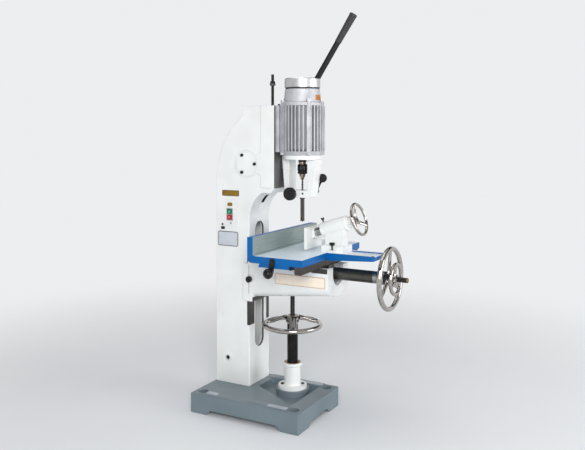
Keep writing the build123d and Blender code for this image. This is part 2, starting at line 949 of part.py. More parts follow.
with BuildPart() as feed_pinion:
    gear(
        feed_axis,
        feed_module,
        feed_teeth,
        feed_face,
        feed_shaft_diameter / 2 + fit_gap,
        -feed_face / 2,
    )
save(feed_pinion, "feed_pinion")

# Lever hub, closed at its outer end, with a socket for the arm
lever_lean = math.radians(lever_angle)
lever_direction = (0, -math.cos(lever_lean), math.sin(lever_lean))
lever_offset = (hub_low + hub_high) / 2
lever_origin = (across(lever_offset), feed_origin[1], feed_origin[2])
lever_axis = Plane(origin=lever_origin, x_dir=(1, 0, 0), z_dir=lever_direction)
arm_start = feed_shaft_diameter / 2 + edge_round
arm_end_length = lever_length - grip_length
socket_end = lever_hub_diameter / 2 + lever_socket
with BuildPart() as lever_hub:
    ring(feed_axis, lever_hub_diameter / 2, 0, hub_low, hub_high)
    fillet(lever_hub.faces().sort_by(Axis.X)[-1].edges(), edge_round)
    ring(lever_axis, lever_diameter / 2 + bush_wall, 0, 0, socket_end)
    ring(feed_axis, feed_shaft_diameter / 2 + fit_gap, 0, hub_low, hub_high - edge_round, Mode.SUBTRACT)
    ring(lever_axis, lever_diameter / 2 + fit_gap, 0, arm_start, lever_length, Mode.SUBTRACT)
save(lever_hub, "lever_hub")

with BuildPart() as feed_lever:
    ring(lever_axis, lever_diameter / 2, 0, arm_start, arm_end_length)
    ring(lever_axis, lever_diameter / 2 - bush_wall, 0, arm_end_length, lever_length - 2 * bush_wall)
save(feed_lever, "feed_lever")

with BuildPart() as lever_grip:
    turn(
        lever_axis,
        [
            (lever_diameter / 2 - bush_wall + fit_gap, arm_end_length),
            (lever_diameter / 2 + edge_round / 2, arm_end_length),
            (grip_diameter / 2, arm_end_length + edge_round),
            (grip_end_diameter / 2, lever_length - edge_round),
            (grip_end_diameter / 2 - edge_round, lever_length),
            (0, lever_length),
            (0, lever_length - 2 * bush_wall),
            (lever_diameter / 2 - bush_wall + fit_gap, lever_length - 2 * bush_wall),
        ],
    )
save(lever_grip, "lever_grip")

# Head slide: a plate on the way, with a tongue through the way's slot
slide_rear_reach = head_reach + fit_gap
slide_front_reach = slide_rear_reach + slide_thickness
with BuildPart() as head_slide:
    block(
        across(-slide_width / 2),
        across(slide_width / 2),
        ahead(slide_front_reach),
        ahead(slide_rear_reach),
        slide_bottom,
        column_top,
    )
    fillet(head_slide.edges().filter_by(Axis.Z).group_by(Axis.Y)[0], edge_round)
    block(
        across(-tongue_width / 2),
        across(tongue_width / 2),
        ahead(slide_rear_reach),
        ahead(rack_front_reach),
        tongue_bottom,
        tongue_bottom + tongue_height,
    )
save(head_slide, "head_slide")

# Rack bar behind the way: it keeps the slide on the way, and the pinion drives it
feed_pitch = math.pi * feed_module
rack_below = math.floor((feed_height - rack_bar_bottom) / feed_pitch)
rack_first = feed_height - rack_below * feed_pitch + feed_pitch / 2
rack_count = math.floor((rack_bar_bottom + rack_bar_height - rack_first) / feed_pitch)
with BuildPart() as head_rack:
    block(
        across(-rack_bar_width / 2),
        across(rack_bar_width / 2),
        ahead(rack_front_reach),
        ahead(rack_root_reach),
        rack_bar_bottom,
        rack_bar_bottom + rack_bar_height,
    )
    teeth_plane = Plane(
        origin=(across(-feed_face / 2), ahead(rack_tip_reach), 0), x_dir=(0, 0, 1), z_dir=(1, 0, 0)
    )
    teeth_depth = rack_root_reach - rack_tip_reach + edge_round
    prism(teeth_plane, rack_outline(feed_module, rack_first, rack_count, teeth_depth), feed_face)
    rod_seat = rack_bar_bottom + rack_bar_height
    with Locations((across(depth_rod_offset), ahead(rod_reach), rod_seat)):
        Hole(depth_rod_diameter / 2, depth_rod_socket)
save(head_rack, "head_rack")

rod_axis = Plane(origin=(across(depth_rod_offset), ahead(rod_reach), 0))
with BuildPart() as depth_rod:
    ring(rod_axis, depth_rod_diameter / 2, 0, rod_seat - depth_rod_socket, column_top + depth_rod_above)
    chamfer(depth_rod.faces().sort_by(Axis.Z)[-1].edges(), depth_rod_diameter / 8)
save(depth_rod, "depth_rod")

# Two nuts locked together: the lower one lands on the column's top at the end of the stroke
with BuildPart() as stop_nuts:
    nut_plane = rod_axis.offset(column_top + head_travel + end_gap)
    for level in range(2):
        with BuildSketch(nut_plane.offset(level * (stop_nut_height + end_gap))) as nut:
            RegularPolygon(stop_nut_width / 2, 6, major_radius=False, rotation=level * 30)
            Circle(depth_rod_diameter / 2 + fit_gap, mode=Mode.SUBTRACT)
        extrude(nut.sketch, amount=stop_nut_height)
save(stop_nuts, "stop_nuts")

# Motor frame: a finned barrel with a closed lower end, a ribbed foot and four bolt lugs
motor_top = motor_bottom + motor_length
shield_top = motor_bottom + motor_shield
lug_circle = motor_radius - lug_radius
fin_low = motor_bottom + motor_shield - edge_round
fin_high = motor_top - motor_rim
foot_depth = motor_radius - motor_sink - math.sqrt(motor_core**2 - foot_half_width**2)
seat_radius = bearing_diameter / 2 + fit_gap
shaft_radius = shaft_diameter / 2
with BuildPart() as motor_frame:
    turn(
        spindle_axis,
        [
            (seat_radius, motor_bottom),
            (motor_radius - motor_taper, motor_bottom),
            (motor_radius - edge_round / 2, fin_low),
            (motor_core, fin_low + edge_round),
            (motor_core, fin_high),
            (motor_radius - edge_round, fin_high + edge_round / 2),
            (motor_radius - edge_round, motor_top),
            (motor_bore, motor_top),
            (motor_bore, shield_top),
            (shaft_radius + edge_round, shield_top),
            (shaft_radius + edge_round, motor_bottom + bearing_width),
            (seat_radius, motor_bottom + bearing_width),
        ],
    )
    with BuildSketch(spindle_axis.offset(fin_low)):
        with PolarLocations((motor_core + motor_radius) / 2 - edge_round / 2, fin_count):
            Rectangle(motor_radius - motor_core + edge_round, fin_thickness)
    extrude(amount=fin_high - fin_low + edge_round)
    block(
        across(-foot_half_width),
        across(foot_half_width),
        ahead(slide_front_reach + foot_depth),
        ahead(slide_front_reach),
        slide_bottom,
        fin_high,
    )
    for groove in range(foot_groove_count):
        groove_reach = slide_front_reach + (groove + 1) * foot_depth / (foot_groove_count + 1)
        for groove_low in (-foot_half_width, foot_half_width - foot_groove_depth):
            block(
                across(groove_low),
                across(groove_low + foot_groove_depth),
                ahead(groove_reach + fin_thickness / 2),
                ahead(groove_reach - fin_thickness / 2),
                slide_bottom,
                fin_high,
                Mode.SUBTRACT,
            )
    ring(spindle_axis, motor_bore, 0, shield_top, motor_top, Mode.SUBTRACT)
    with BuildSketch(spindle_axis.offset(motor_bottom)):
        with PolarLocations(lug_circle, lug_count, start_angle=lug_angle):
            Circle(lug_radius)
    extrude(amount=motor_length)
    with BuildSketch(spindle_axis.offset(motor_bottom)):
        with PolarLocations(lug_circle, lug_count, start_angle=lug_angle):
            Circle(tie_bolt_diameter / 2 + fit_gap)
    extrude(amount=motor_length, mode=Mode.SUBTRACT)
    # Flat back that seats on the slide
    block(
        across(-motor_radius),
        across(motor_radius),
        ahead(slide_front_reach),
        ahead(slide_front_reach - motor_sink),
        motor_bottom,
        motor_top,
        Mode.SUBTRACT,
    )
save(motor_frame, "motor_frame")

# Upper end bell, tapered, with the upper bearing's seat and a neck for the cowl
bell_top = motor_top + bell_height
neck_top = bell_top + bell_neck
upper_seat = bell_top - bearing_width
with BuildPart() as motor_end_bell:
    turn(
        spindle_axis,
        [
            (motor_bore, motor_top),
            (motor_radius - edge_round, motor_top),
            (motor_radius - edge_round, motor_top + edge_round),
            (bell_base_radius, motor_top + 2 * edge_round),
            (bell_top_radius, bell_top - edge_round),
            (bell_top_radius - edge_round, bell_top),
            (bell_neck_radius, bell_top),
            (bell_neck_radius, neck_top),
            (bell_neck_radius - bell_wall, neck_top),
            (bell_neck_radius - bell_wall, bell_top),
            (shaft_radius + edge_round, bell_top),
            (shaft_radius + edge_round, upper_seat),
            (seat_radius, upper_seat),
            (seat_radius, upper_seat - bearing_width),
            (seat_radius + bell_wall, upper_seat - bearing_width),
            (seat_radius + bell_wall, upper_seat - edge_round),
            (bell_top_radius - bell_wall - edge_round, upper_seat - edge_round),
            (motor_bore, motor_top + bell_wall),
        ],
    )
    with BuildSketch(spindle_axis.offset(motor_top)):
        with PolarLocations(lug_circle, lug_count, start_angle=lug_angle):
            Circle(lug_radius)
    extrude(amount=2 * edge_round)
    with BuildSketch(spindle_axis.offset(motor_top)):
        with PolarLocations(lug_circle, lug_count, start_angle=lug_angle):
            Circle(tie_bolt_diameter / 2 + fit_gap)
    extrude(amount=2 * edge_round, mode=Mode.SUBTRACT)
    with BuildSketch(spindle_axis.offset(motor_top + 2 * edge_round)):
        with PolarLocations(lug_circle, lug_count, start_angle=lug_angle):
            Circle(tie_nut_width / 2 + edge_round)
    extrude(amount=2 * tie_nut_height, mode=Mode.SUBTRACT)
    # Flat back that clears the way over the stroke
    block(
        across(-motor_radius),
        across(motor_radius),
        ahead(slide_rear_reach + slide_thickness / 2),
        ahead(slide_rear_reach - motor_sink),
        motor_top,
        bell_top,
        Mode.SUBTRACT,
    )
save(motor_end_bell, "motor_end_bell")

# Fan cowl: a cap over the fan that grips the bell's neck
cowl_low = bell_top + cowl_gap
cowl_top = cowl_low + cowl_height
with BuildPart() as fan_cowl:
    turn(
        spindle_axis,
        [
            (bell_neck_radius, cowl_low),
            (cowl_radius, cowl_low),
            (cowl_radius, cowl_top - edge_round),
            (cowl_radius - edge_round, cowl_top),
            (0, cowl_top),
            (0, cowl_top - cowl_wall),
            (cowl_radius - cowl_wall - edge_round, cowl_top - cowl_wall),
            (cowl_radius - cowl_wall, cowl_top - cowl_wall - edge_round),
            (cowl_radius - cowl_wall, cowl_low + cowl_wall),
            (bell_neck_radius, cowl_low + cowl_wall),
        ],
    )
save(fan_cowl, "fan_cowl")

# Four tie bolts through the lugs, with a nut at each end
bolt_low = motor_bottom
bolt_high = motor_top + 2 * edge_round
with BuildPart() as tie_bolts:
    with BuildSketch(spindle_axis.offset(bolt_low)):
        with PolarLocations(lug_circle, lug_count, start_angle=lug_angle):
            Circle(tie_bolt_diameter / 2)
    extrude(amount=bolt_high - bolt_low + tie_nut_height + edge_round)
    with BuildSketch(spindle_axis.offset(bolt_high)):
        with PolarLocations(lug_circle, lug_count, start_angle=lug_angle):
            RegularPolygon(tie_nut_width / 2, 6, major_radius=False)
    extrude(amount=tie_nut_height)
save(tie_bolts, "tie_bolts")

# Stator core and windings as one ring in the motor's bore, and the two bearings
stator_low = shield_top + (motor_top - shield_top - stator_height) / 2
stator_bore = motor_bore - fit_gap - stator_wall
with BuildPart() as stator:
    ring(spindle_axis, motor_bore - fit_gap, stator_bore, stator_low, stator_low + stator_height)
save(stator, "stator")

with BuildPart() as motor_bearings:
    for level in (motor_bottom, upper_seat - bearing_width):
        ring(
            spindle_axis,
            bearing_diameter / 2,
            shaft_radius + fit_gap,
            level,
            level + bearing_width,
        )
save(motor_bearings, "motor_bearings")

# Spindle: motor shaft, rotor core and fan
chuck_top = motor_bottom - yoke_disc - chuck_neck - end_gap
shaft_low = chuck_top + chuck_neck / 2
shaft_high = cowl_top - cowl_wall - edge_round
with BuildPart() as motor_shaft:
    ring(spindle_axis, shaft_radius, 0, shaft_low, shaft_high)
    chamfer(motor_shaft.faces().sort_by(Axis.Z)[-1].edges(), shaft_chamfer)
save(motor_shaft, "motor_shaft")

rotor_low = stator_low + (stator_height - rotor_height) / 2
with BuildPart() as rotor:
    ring(spindle_axis, stator_bore - rotor_gap, shaft_radius + fit_gap, rotor_low, rotor_low + rotor_height)
save(rotor, "rotor")

fan_low = neck_top + 2 * end_gap
with BuildPart() as cooling_fan:
    ring(spindle_axis, fan_radius, shaft_radius + fit_gap, fan_low, fan_low + fan_plate)
    ring(spindle_axis, shaft_radius + bush_wall, shaft_radius + fit_gap, fan_low, fan_low + fan_height)
    with BuildSketch(spindle_axis.offset(fan_low)):
        with PolarLocations((fan_radius + shaft_radius + bush_wall) / 2 - edge_round / 2, fan_blades):
            Rectangle(fan_radius - shaft_radius - bush_wall + edge_round / 2, fan_plate)
    extrude(amount=fan_height)
save(cooling_fan, "cooling_fan")

# Drill chuck: a body with its neck and jaws inside a turning sleeve
sleeve_low = chuck_top - chuck_sleeve
nose_low = sleeve_low - chuck_cone
body_radius = chuck_diameter / 2 - chuck_body_wall
bit_radius = bit_diameter / 2
with BuildPart() as chuck_body:
    turn(
        spindle_axis,
        [
            (0, nose_low),
            (chuck_nose_diameter / 2, nose_low),
            (body_radius, sleeve_low),
            (body_radius, chuck_top),
            (chuck_neck_diameter / 2, chuck_top),
            (chuck_neck_diameter / 2, chuck_top + chuck_neck),
            (shaft_radius, chuck_top + chuck_neck),
            (shaft_radius, shaft_low),
            (0, shaft_low),
        ],
    )
    with BuildSketch(spindle_axis.offset(nose_low - jaw_length)):
        with PolarLocations((bit_radius + jaw_width) / 2, jaw_count):
            Rectangle(bit_radius + jaw_width, jaw_width)
    extrude(amount=jaw_length + chuck_cone / 2)
    ring(spindle_axis, bit_radius, 0, nose_low - 2 * jaw_length, chuck_top + chuck_neck, Mode.SUBTRACT)
save(chuck_body, "chuck_body")

with BuildPart() as chuck_collar:
    turn(
        spindle_axis,
        [
            (body_radius + fit_gap, sleeve_low),
            (chuck_diameter / 2 - chuck_bevel, sleeve_low),
            (chuck_diameter / 2, sleeve_low + chuck_bevel),
            (chuck_diameter / 2, chuck_top - chuck_bevel),
            (chuck_diameter / 2 - chuck_bevel, chuck_top),
            (body_radius + fit_gap, chuck_top),
        ],
    )
save(chuck_collar, "chuck_sleeve")

# Yoke: a disc under the motor and a tapered frame down to the chisel's bar
disc_low = motor_bottom - yoke_disc
yoke_low = motor_bottom - yoke_disc - yoke_height
bar_top = yoke_low + yoke_bar
bush_radius = chisel_bush_diameter / 2
with BuildPart() as yoke:
    ring(spindle_axis, yoke_disc_radius, 0, disc_low, motor_bottom)
    fillet(yoke.faces().sort_by(Axis.Z)[0].edges(), edge_round)
    yoke_outline = [
        (ahead(spindle_reach - yoke_rear_top), motor_bottom - edge_round),
        (ahead(spindle_reach + yoke_front_top), motor_bottom - edge_round),
        (ahead(spindle_reach + yoke_front_foot), yoke_low),
        (ahead(spindle_reach - yoke_rear_foot), yoke_low),
    ]
    prism(Plane.YZ.offset(across(-yoke_width / 2)), yoke_outline, yoke_width)
    fillet(yoke.edges().filter_by(Axis.X).group_by(Axis.Z)[0], 2 * edge_round)
    window = [
        (ahead(spindle_reach - yoke_window_rear), disc_low),
        (ahead(spindle_reach + yoke_window_front), disc_low),
        (ahead(spindle_reach + yoke_window_front), bar_top),
        (ahead(spindle_reach - yoke_window_rear), bar_top),
    ]
    prism(Plane.YZ.offset(across(-yoke_width)), window, 2 * yoke_width, Mode.SUBTRACT)
    ring(spindle_axis, chuck_diameter / 2 + edge_round, 0, disc_low, motor_bottom, Mode.SUBTRACT)
    ring(spindle_axis, bush_radius + fit_gap, 0, yoke_low, bar_top, Mode.SUBTRACT)
    knob_height = yoke_low + yoke_bar / 2
    knob_origin = (across(-yoke_width / 2), ahead(spindle_reach - clamp_knob_setback), knob_height)
    knob_axis = Plane(origin=knob_origin, x_dir=(0, 1, 0), z_dir=(-1, 0, 0))
    stem_bore = clamp_stem_diameter / 2 + fit_gap
    stem_end = -clamp_stem_depth - end_gap
    ring(knob_axis, stem_bore, 0, stem_end, edge_round, Mode.SUBTRACT)
    lever_height = yoke_low + yoke_bar / 2 + yoke_lever_rise / 2
    yoke_pivot = (across(yoke_width / 2), ahead(spindle_reach + yoke_lever_reach), lever_height)
    yoke_pivot_axis = Plane(origin=yoke_pivot, x_dir=(0, 1, 0), z_dir=(1, 0, 0))
    ring(yoke_pivot_axis, stem_bore, 0, stem_end, edge_round, Mode.SUBTRACT)
save(yoke, "yoke")

with BuildPart() as chisel_bush:
    ring(spindle_axis, bush_radius, chisel_shank_diameter / 2 + fit_gap, yoke_low, bar_top)
save(chisel_bush, "chisel_bush")

# Hollow chisel: a bored square shank with four points, under a round shank and collar
collar_top = yoke_low
with BuildPart() as chisel:
    with BuildSketch(spindle_axis.offset(chisel_tip_height)):
        Rectangle(chisel_width, chisel_width)
    extrude(amount=collar_top - chisel_collar - chisel_tip_height)
    ring(spindle_axis, chisel_collar_diameter / 2, 0, collar_top - chisel_collar, collar_top)
    ring(spindle_axis, chisel_shank_diameter / 2, 0, collar_top, bar_top)
    ring(spindle_axis, chisel_bore / 2, 0, chisel_tip_height, bar_top, Mode.SUBTRACT)
    turn(
        spindle_axis,
        [
            (0, chisel_tip_height),
            (chisel_width / 2 + chisel_point / 2, chisel_tip_height),
            (chisel_bore / 2, chisel_tip_height + chisel_point),
            (0, chisel_tip_height + chisel_point),
        ],
        Mode.SUBTRACT,
    )
save(chisel, "chisel")

with BuildPart() as auger_bit:
    turn(
        spindle_axis,
        [
            (0, chisel_tip_height - bit_tip),
            (bit_radius - fit_gap, chisel_tip_height + bit_tip),
            (bit_radius - fit_gap, shaft_low - end_gap),
            (0, shaft_low - end_gap),
        ],
    )
save(auger_bit, "auger_bit")

# Chisel clamp knob on the left, a ball lever on the right
with BuildPart() as clamp_knob:
    ring(knob_axis, clamp_stem_diameter / 2, 0, -clamp_stem_depth, clamp_knob_length / 2)
    turn(
        knob_axis,
        [
            (0, end_gap),
            (clamp_knob_diameter / 4, end_gap),
            (clamp_knob_diameter / 2, clamp_knob_length / 4),
            (clamp_knob_diameter / 2, clamp_knob_length - edge_round),
            (clamp_knob_diameter / 2 - edge_round, clamp_knob_length),
            (0, clamp_knob_length),
        ],
    )
save(clamp_knob, "clamp_knob")

yoke_lever_angle = math.radians(yoke_lever_lean)
yoke_lever_direction = (0, -math.sin(yoke_lever_angle), math.cos(yoke_lever_angle))
yoke_arm_origin = (yoke_pivot[0] + yoke_lever_diameter / 2 + 2 * end_gap, yoke_pivot[1], yoke_pivot[2])
yoke_arm_axis = Plane(origin=yoke_arm_origin, x_dir=(1, 0, 0), z_dir=yoke_lever_direction)
with BuildPart() as yoke_lever:
    ring(yoke_pivot_axis, clamp_stem_diameter / 2, 0, -clamp_stem_depth, yoke_lever_diameter)
    ring(yoke_pivot_axis, yoke_lever_boss / 2, 0, end_gap, yoke_lever_diameter + 4 * end_gap)
    ring(yoke_arm_axis, yoke_lever_diameter / 2, 0, 0, yoke_lever_length)
    ball(yoke_arm_axis.offset(yoke_lever_length), yoke_ball_diameter)
    block(
        yoke_pivot[0] - yoke_ball_diameter,
        yoke_pivot[0] + end_gap,
        yoke_pivot[1] - yoke_lever_length - yoke_ball_diameter,
        yoke_pivot[1] + yoke_lever_length,
        yoke_pivot[2] + yoke_lever_boss,
        yoke_pivot[2] + yoke_lever_length + yoke_ball_diameter,
        Mode.SUBTRACT,
    )
save(yoke_lever, "yoke_lever")

# Knee: a carriage on the column and a round-bottomed bracket, open on top, with a notched front wall
knee_side = knee_width / 2
wall_inside_reach = knee_reach - knee_front_wall
lock_origin = (across(-knee_side), ahead(knee_lock_reach), knee_lock_height)
lock_axis = Plane(origin=lock_origin, x_dir=(0, 1, 0), z_dir=(-1, 0, 0))
tongue_half = front_slot_width / 2 - fit_gap
keeper_front_reach = -column_wall - fit_gap
keeper_middle = (carriage_top + carriage_bottom) / 2
bottom_slope = (knee_front_bottom - knee_rear_bottom) / (knee_reach - carriage_plate)
lift_boss_low = knee_rear_bottom + bottom_slope * (lift_reach - carriage_plate) - lift_boss_drop
lift_screw_top = lift_boss_low + lift_screw_seat
cross_screw_rear_reach = trough_rear_reach + cross_in_travel + edge_round
nut_reach = cross_screw_rear_reach + cross_out_travel + edge_round
with BuildPart() as knee:
    bracket = [
        (ahead(fit_gap), knee_top),
        (ahead(fit_gap), knee_rear_bottom),
        (ahead(carriage_plate), knee_rear_bottom),
        (ahead(knee_reach), knee_front_bottom),
        (ahead(knee_reach), knee_top),
    ]
    prism(Plane.YZ.offset(across(-knee_side)), bracket, knee_width)
    slanted = knee.faces().sort_by(Axis.Z)[0:2].edges()
    fillet([e for e in slanted if abs(e.center().X - column_x) > knee_side - edge_round], knee_bottom_round)
    with BuildSketch(Plane.XZ.offset(-ahead(wall_inside_reach))):
        with BuildLine():
            CenterArc((column_x, tube_height), knee_side, 180, 180)
            Polyline(
                (across(knee_side), tube_height),
                (across(knee_side), knee_top),
                (across(-knee_side), knee_top),
                (across(-knee_side), tube_height),
            )
        make_face()
    extrude(amount=knee_front_wall)
    # Trough and the notch in the front wall, both open on top
    for near, far, radius in (
        (trough_rear_reach, wall_inside_reach, trough_radius),
        (wall_inside_reach, knee_reach, notch_radius),
    ):
        with BuildSketch(Plane.XZ.offset(-ahead(near))) as channel:
            with Locations((column_x, tube_height)):
                Circle(radius)
            with Locations((column_x, tube_height + knee_side / 2)):
                Rectangle(2 * radius, knee_side)
        extrude(channel.sketch, amount=far - near, mode=Mode.SUBTRACT)
    # Carriage with a cheek on each side of the column
    block(
        across(-knee_side),
        across(knee_side),
        ahead(carriage_plate),
        ahead(-cheek_depth),
        carriage_bottom,
        carriage_top,
    )
    block(
        across(-side - fit_gap),
        across(side + fit_gap),
        ahead(fit_gap),
        ahead(-cheek_depth),
        carriage_bottom,
        carriage_top,
        Mode.SUBTRACT,
    )
    # Tongue through the column's slot, which carries the keeper
    block(
        across(-tongue_half),
        across(tongue_half),
        ahead(fit_gap),
        ahead(keeper_front_reach),
        keeper_middle - keeper_height / 3,
        keeper_middle + keeper_height / 3,
    )
    # Seats of the cross nut, the lift screw and the lock
    block(
        across(-nut_width / 2),
        across(nut_width / 2),
        ahead(nut_reach + nut_length),
        ahead(nut_reach),
        knee_front_bottom,
        nut_seat_height,
    )
    ring(lift_axis, lift_boss_diameter / 2, 0, lift_boss_low, knee_front_bottom)
    ring(lift_axis, lift_screw_diameter / 2, 0, lift_boss_low, lift_screw_top, Mode.SUBTRACT)
    ring(lock_axis, knee_lock_stem / 2 + fit_gap, 0, -knee_lock_depth - end_gap, edge_round, Mode.SUBTRACT)
save(knee, "knee")

with BuildPart() as knee_keeper:
    block(
        across(-keeper_width / 2),
        across(keeper_width / 2),
        ahead(keeper_front_reach),
        ahead(keeper_front_reach - keeper_plate),
        keeper_middle - keeper_height / 2,
        keeper_middle + keeper_height / 2,
    )
    chamfer(knee_keeper.edges().filter_by(Axis.Z), edge_round)
save(knee_keeper, "knee_keeper")

with BuildPart() as knee_lock_knob:
    ring(lock_axis, knee_lock_stem / 2, 0, -knee_lock_depth, knee_lock_length / 2)
    turn(
        lock_axis,
        [
            (0, end_gap),
            (knee_lock_diameter / 3, end_gap),
            (knee_lock_diameter / 2, knee_lock_length / 3),
            (knee_lock_diameter / 2, knee_lock_length - edge_round),
            (knee_lock_diameter / 2 - edge_round, knee_lock_length),
            (0, knee_lock_length),
        ],
    )
save(knee_lock_knob, "knee_lock_knob")

# Lift pedestal, tube, handwheel with its nut, and the screw fixed in the knee
pedestal_top = pedestal_seat + pedestal_height
lift_tube_top = pedestal_top + lift_tube_above
lift_hub_low = lift_tube_top + end_gap
lift_hub_middle = lift_hub_low + lift_hub_length / 2
lift_rim_height = lift_hub_middle - lift_wheel_dish
lift_nut_radius = lift_screw_diameter / 2 + lift_nut_wall
with BuildPart() as pedestal:
    turn(
        lift_axis,
        [
            (pedestal_bore / 2, pedestal_seat),
            (pedestal_flange_diameter / 2, pedestal_seat),
            (pedestal_flange_diameter / 2, pedestal_seat + pedestal_flange),
            (pedestal_neck_diameter / 2 + edge_round, pedestal_seat + pedestal_flange),
            (pedestal_neck_diameter / 2, pedestal_seat + pedestal_flange + edge_round),
            (pedestal_neck_diameter / 2, pedestal_top - pedestal_lip - edge_round),
            (pedestal_lip_diameter / 2, pedestal_top - pedestal_lip),
            (pedestal_lip_diameter / 2, pedestal_top),
            (lift_tube_diameter / 2 + fit_gap, pedestal_top),
            (lift_tube_diameter / 2 + fit_gap, pedestal_top - lift_tube_socket),
            (pedestal_bore / 2, pedestal_top - lift_tube_socket),
        ],
    )
save(pedestal, "pedestal")

with BuildPart() as lift_tube:
    ring(
        lift_axis,
        lift_tube_diameter / 2,
        lift_tube_bore / 2,
        pedestal_top - lift_tube_socket,
        lift_tube_top,
    )
save(lift_tube, "lift_tube")

lift_rim_axis = lift_axis.offset(lift_rim_height)
with BuildPart() as lift_handwheel:
    handwheel(
        lift_rim_axis,
        lift_wheel_diameter,
        lift_wheel_rim,
        lift_wheel_dish,
        lift_hub_diameter,
        lift_hub_low - lift_rim_height,
        lift_hub_length,
        lift_nut_radius + fit_gap,
        lift_spoke,
    )
save(lift_handwheel, "lift_handwheel")

with BuildPart() as lift_nut:
    ring(
        lift_axis,
        lift_nut_radius,
        lift_screw_diameter / 2 + fit_gap,
        lift_hub_low,
        lift_hub_low + lift_hub_length,
    )
save(lift_nut, "lift_nut")

with BuildPart() as lift_screw:
    ring(lift_axis, lift_screw_diameter / 2, 0, lift_hub_low - lift_screw_tail, lift_screw_top)
save(lift_screw, "lift_screw")

# Saddle: a slab across the knee's walls, keyed between them, with a hanger for the feed tube
# and a dovetail along X for the table
block_middle = (way_block_rear_reach + way_block_front_reach) / 2
journal_radius = feed_tube_journal / 2
key_front_reach = wall_inside_reach - cross_out_travel - 2 * edge_round
dovetail_low = dovetail_top_width / 2 - dovetail_undercut
dovetail_flank = dovetail_undercut / dovetail_height
with BuildPart() as saddle:
    block(
        across(-knee_side),
        across(knee_side),
        ahead(saddle_front_reach),
        ahead(saddle_rear_reach),
        saddle_low,
        way_low,
    )
    block(
        across(-trough_radius + fit_gap),
        across(trough_radius - fit_gap),
        ahead(key_front_reach),
        ahead(saddle_rear_reach),
        saddle_low - saddle_key,
        saddle_low,
    )
    ring(tube_axis, hanger_radius, 0, hanger_rear_reach, saddle_front_reach)
    block(
        across(-hanger_radius),
        across(hanger_radius),
        ahead(saddle_front_reach),
        ahead(hanger_rear_reach),
        tube_height,
        saddle_low,
    )
    dovetail = [
        (ahead(block_middle - dovetail_low), way_low),
        (ahead(block_middle + dovetail_low), way_low),
        (ahead(block_middle + dovetail_top_width / 2), way_low + dovetail_height),
        (ahead(block_middle - dovetail_top_width / 2), way_low + dovetail_height),
    ]
    prism(Plane.YZ.offset(across(-knee_side)), dovetail, knee_width)
    ring(tube_axis, journal_radius + fit_gap, 0, 0, knee_reach, Mode.SUBTRACT)
save(saddle, "saddle")

with BuildPart() as cross_nut:
    block(
        across(-nut_width / 2),
        across(nut_width / 2),
        ahead(nut_reach + nut_length),
        ahead(nut_reach),
        nut_seat_height,
        tube_height + nut_over_axis,
    )
    ring(tube_axis, cross_screw_diameter / 2 + fit_gap, 0, 0, knee_reach, Mode.SUBTRACT)
save(cross_nut, "cross_nut")

# Feed tube: a hollow shaft that carries the traverse pinion and the large handwheel
tube_bore = cross_screw_diameter / 2 + fit_gap
nose_end = feed_tube_front_reach + traverse_hub_length
rack_middle_reach = saddle_front_reach + edge_round + rack_depth / 2
pinion_low = rack_middle_reach - traverse_face / 2
tube_shoulder = pinion_low + traverse_face
with BuildPart() as feed_tube:
    turn(
        tube_axis,
        [
            (tube_bore, hanger_rear_reach),
            (journal_radius, hanger_rear_reach),
            (journal_radius, tube_shoulder),
            (feed_tube_diameter / 2, tube_shoulder),
            (feed_tube_diameter / 2, feed_tube_front_reach - tube_collar),
            (tube_collar_diameter / 2, feed_tube_front_reach - tube_collar),
            (tube_collar_diameter / 2, feed_tube_front_reach),
            (tube_nose_diameter / 2, feed_tube_front_reach),
            (tube_nose_diameter / 2, nose_end),
            (tube_bore, nose_end),
        ],
    )
save(feed_tube, "feed_tube")

# One tooth points straight up into a gap of the table's rack
pinion_plane = Plane(origin=tube_axis.origin, x_dir=(0, 0, 1), z_dir=(0, -1, 0))
with BuildPart() as traverse_pinion:
    gear(
        pinion_plane,
        traverse_module,
        traverse_teeth,
        traverse_face,
        journal_radius + fit_gap,
        pinion_low,
    )
save(traverse_pinion, "traverse_pinion")

traverse_rim_reach = feed_tube_front_reach + traverse_hub_length / 2 + traverse_wheel_dish
with BuildPart() as traverse_handwheel:
    handwheel(
        tube_axis.offset(traverse_rim_reach),
        traverse_wheel_diameter,
        traverse_wheel_rim,
        traverse_wheel_dish,
        traverse_hub_diameter,
        feed_tube_front_reach - traverse_rim_reach,
        traverse_hub_length,
        tube_nose_diameter / 2 + fit_gap,
        traverse_spoke,
    )
save(traverse_handwheel, "traverse_handwheel")

with BuildPart() as cross_screw:
    ring(tube_axis, cross_screw_diameter / 2, 0, cross_screw_rear_reach, cross_screw_front_reach)
    chamfer(cross_screw.faces().sort_by(Axis.Y)[0].edges(), edge_round / 2)
save(cross_screw, "cross_screw")

cross_hub_low = nose_end + end_gap
cross_rim_reach = cross_hub_low + cross_hub_length / 2 + cross_wheel_dish
with BuildPart() as cross_handwheel:
    handwheel(
        tube_axis.offset(cross_rim_reach),
        cross_wheel_diameter,
        cross_wheel_rim,
        cross_wheel_dish,
        cross_hub_diameter,
        cross_hub_low - cross_rim_reach,
        cross_hub_length,
        cross_screw_diameter / 2 + fit_gap,
        cross_spoke,
    )
save(cross_handwheel, "cross_handwheel")

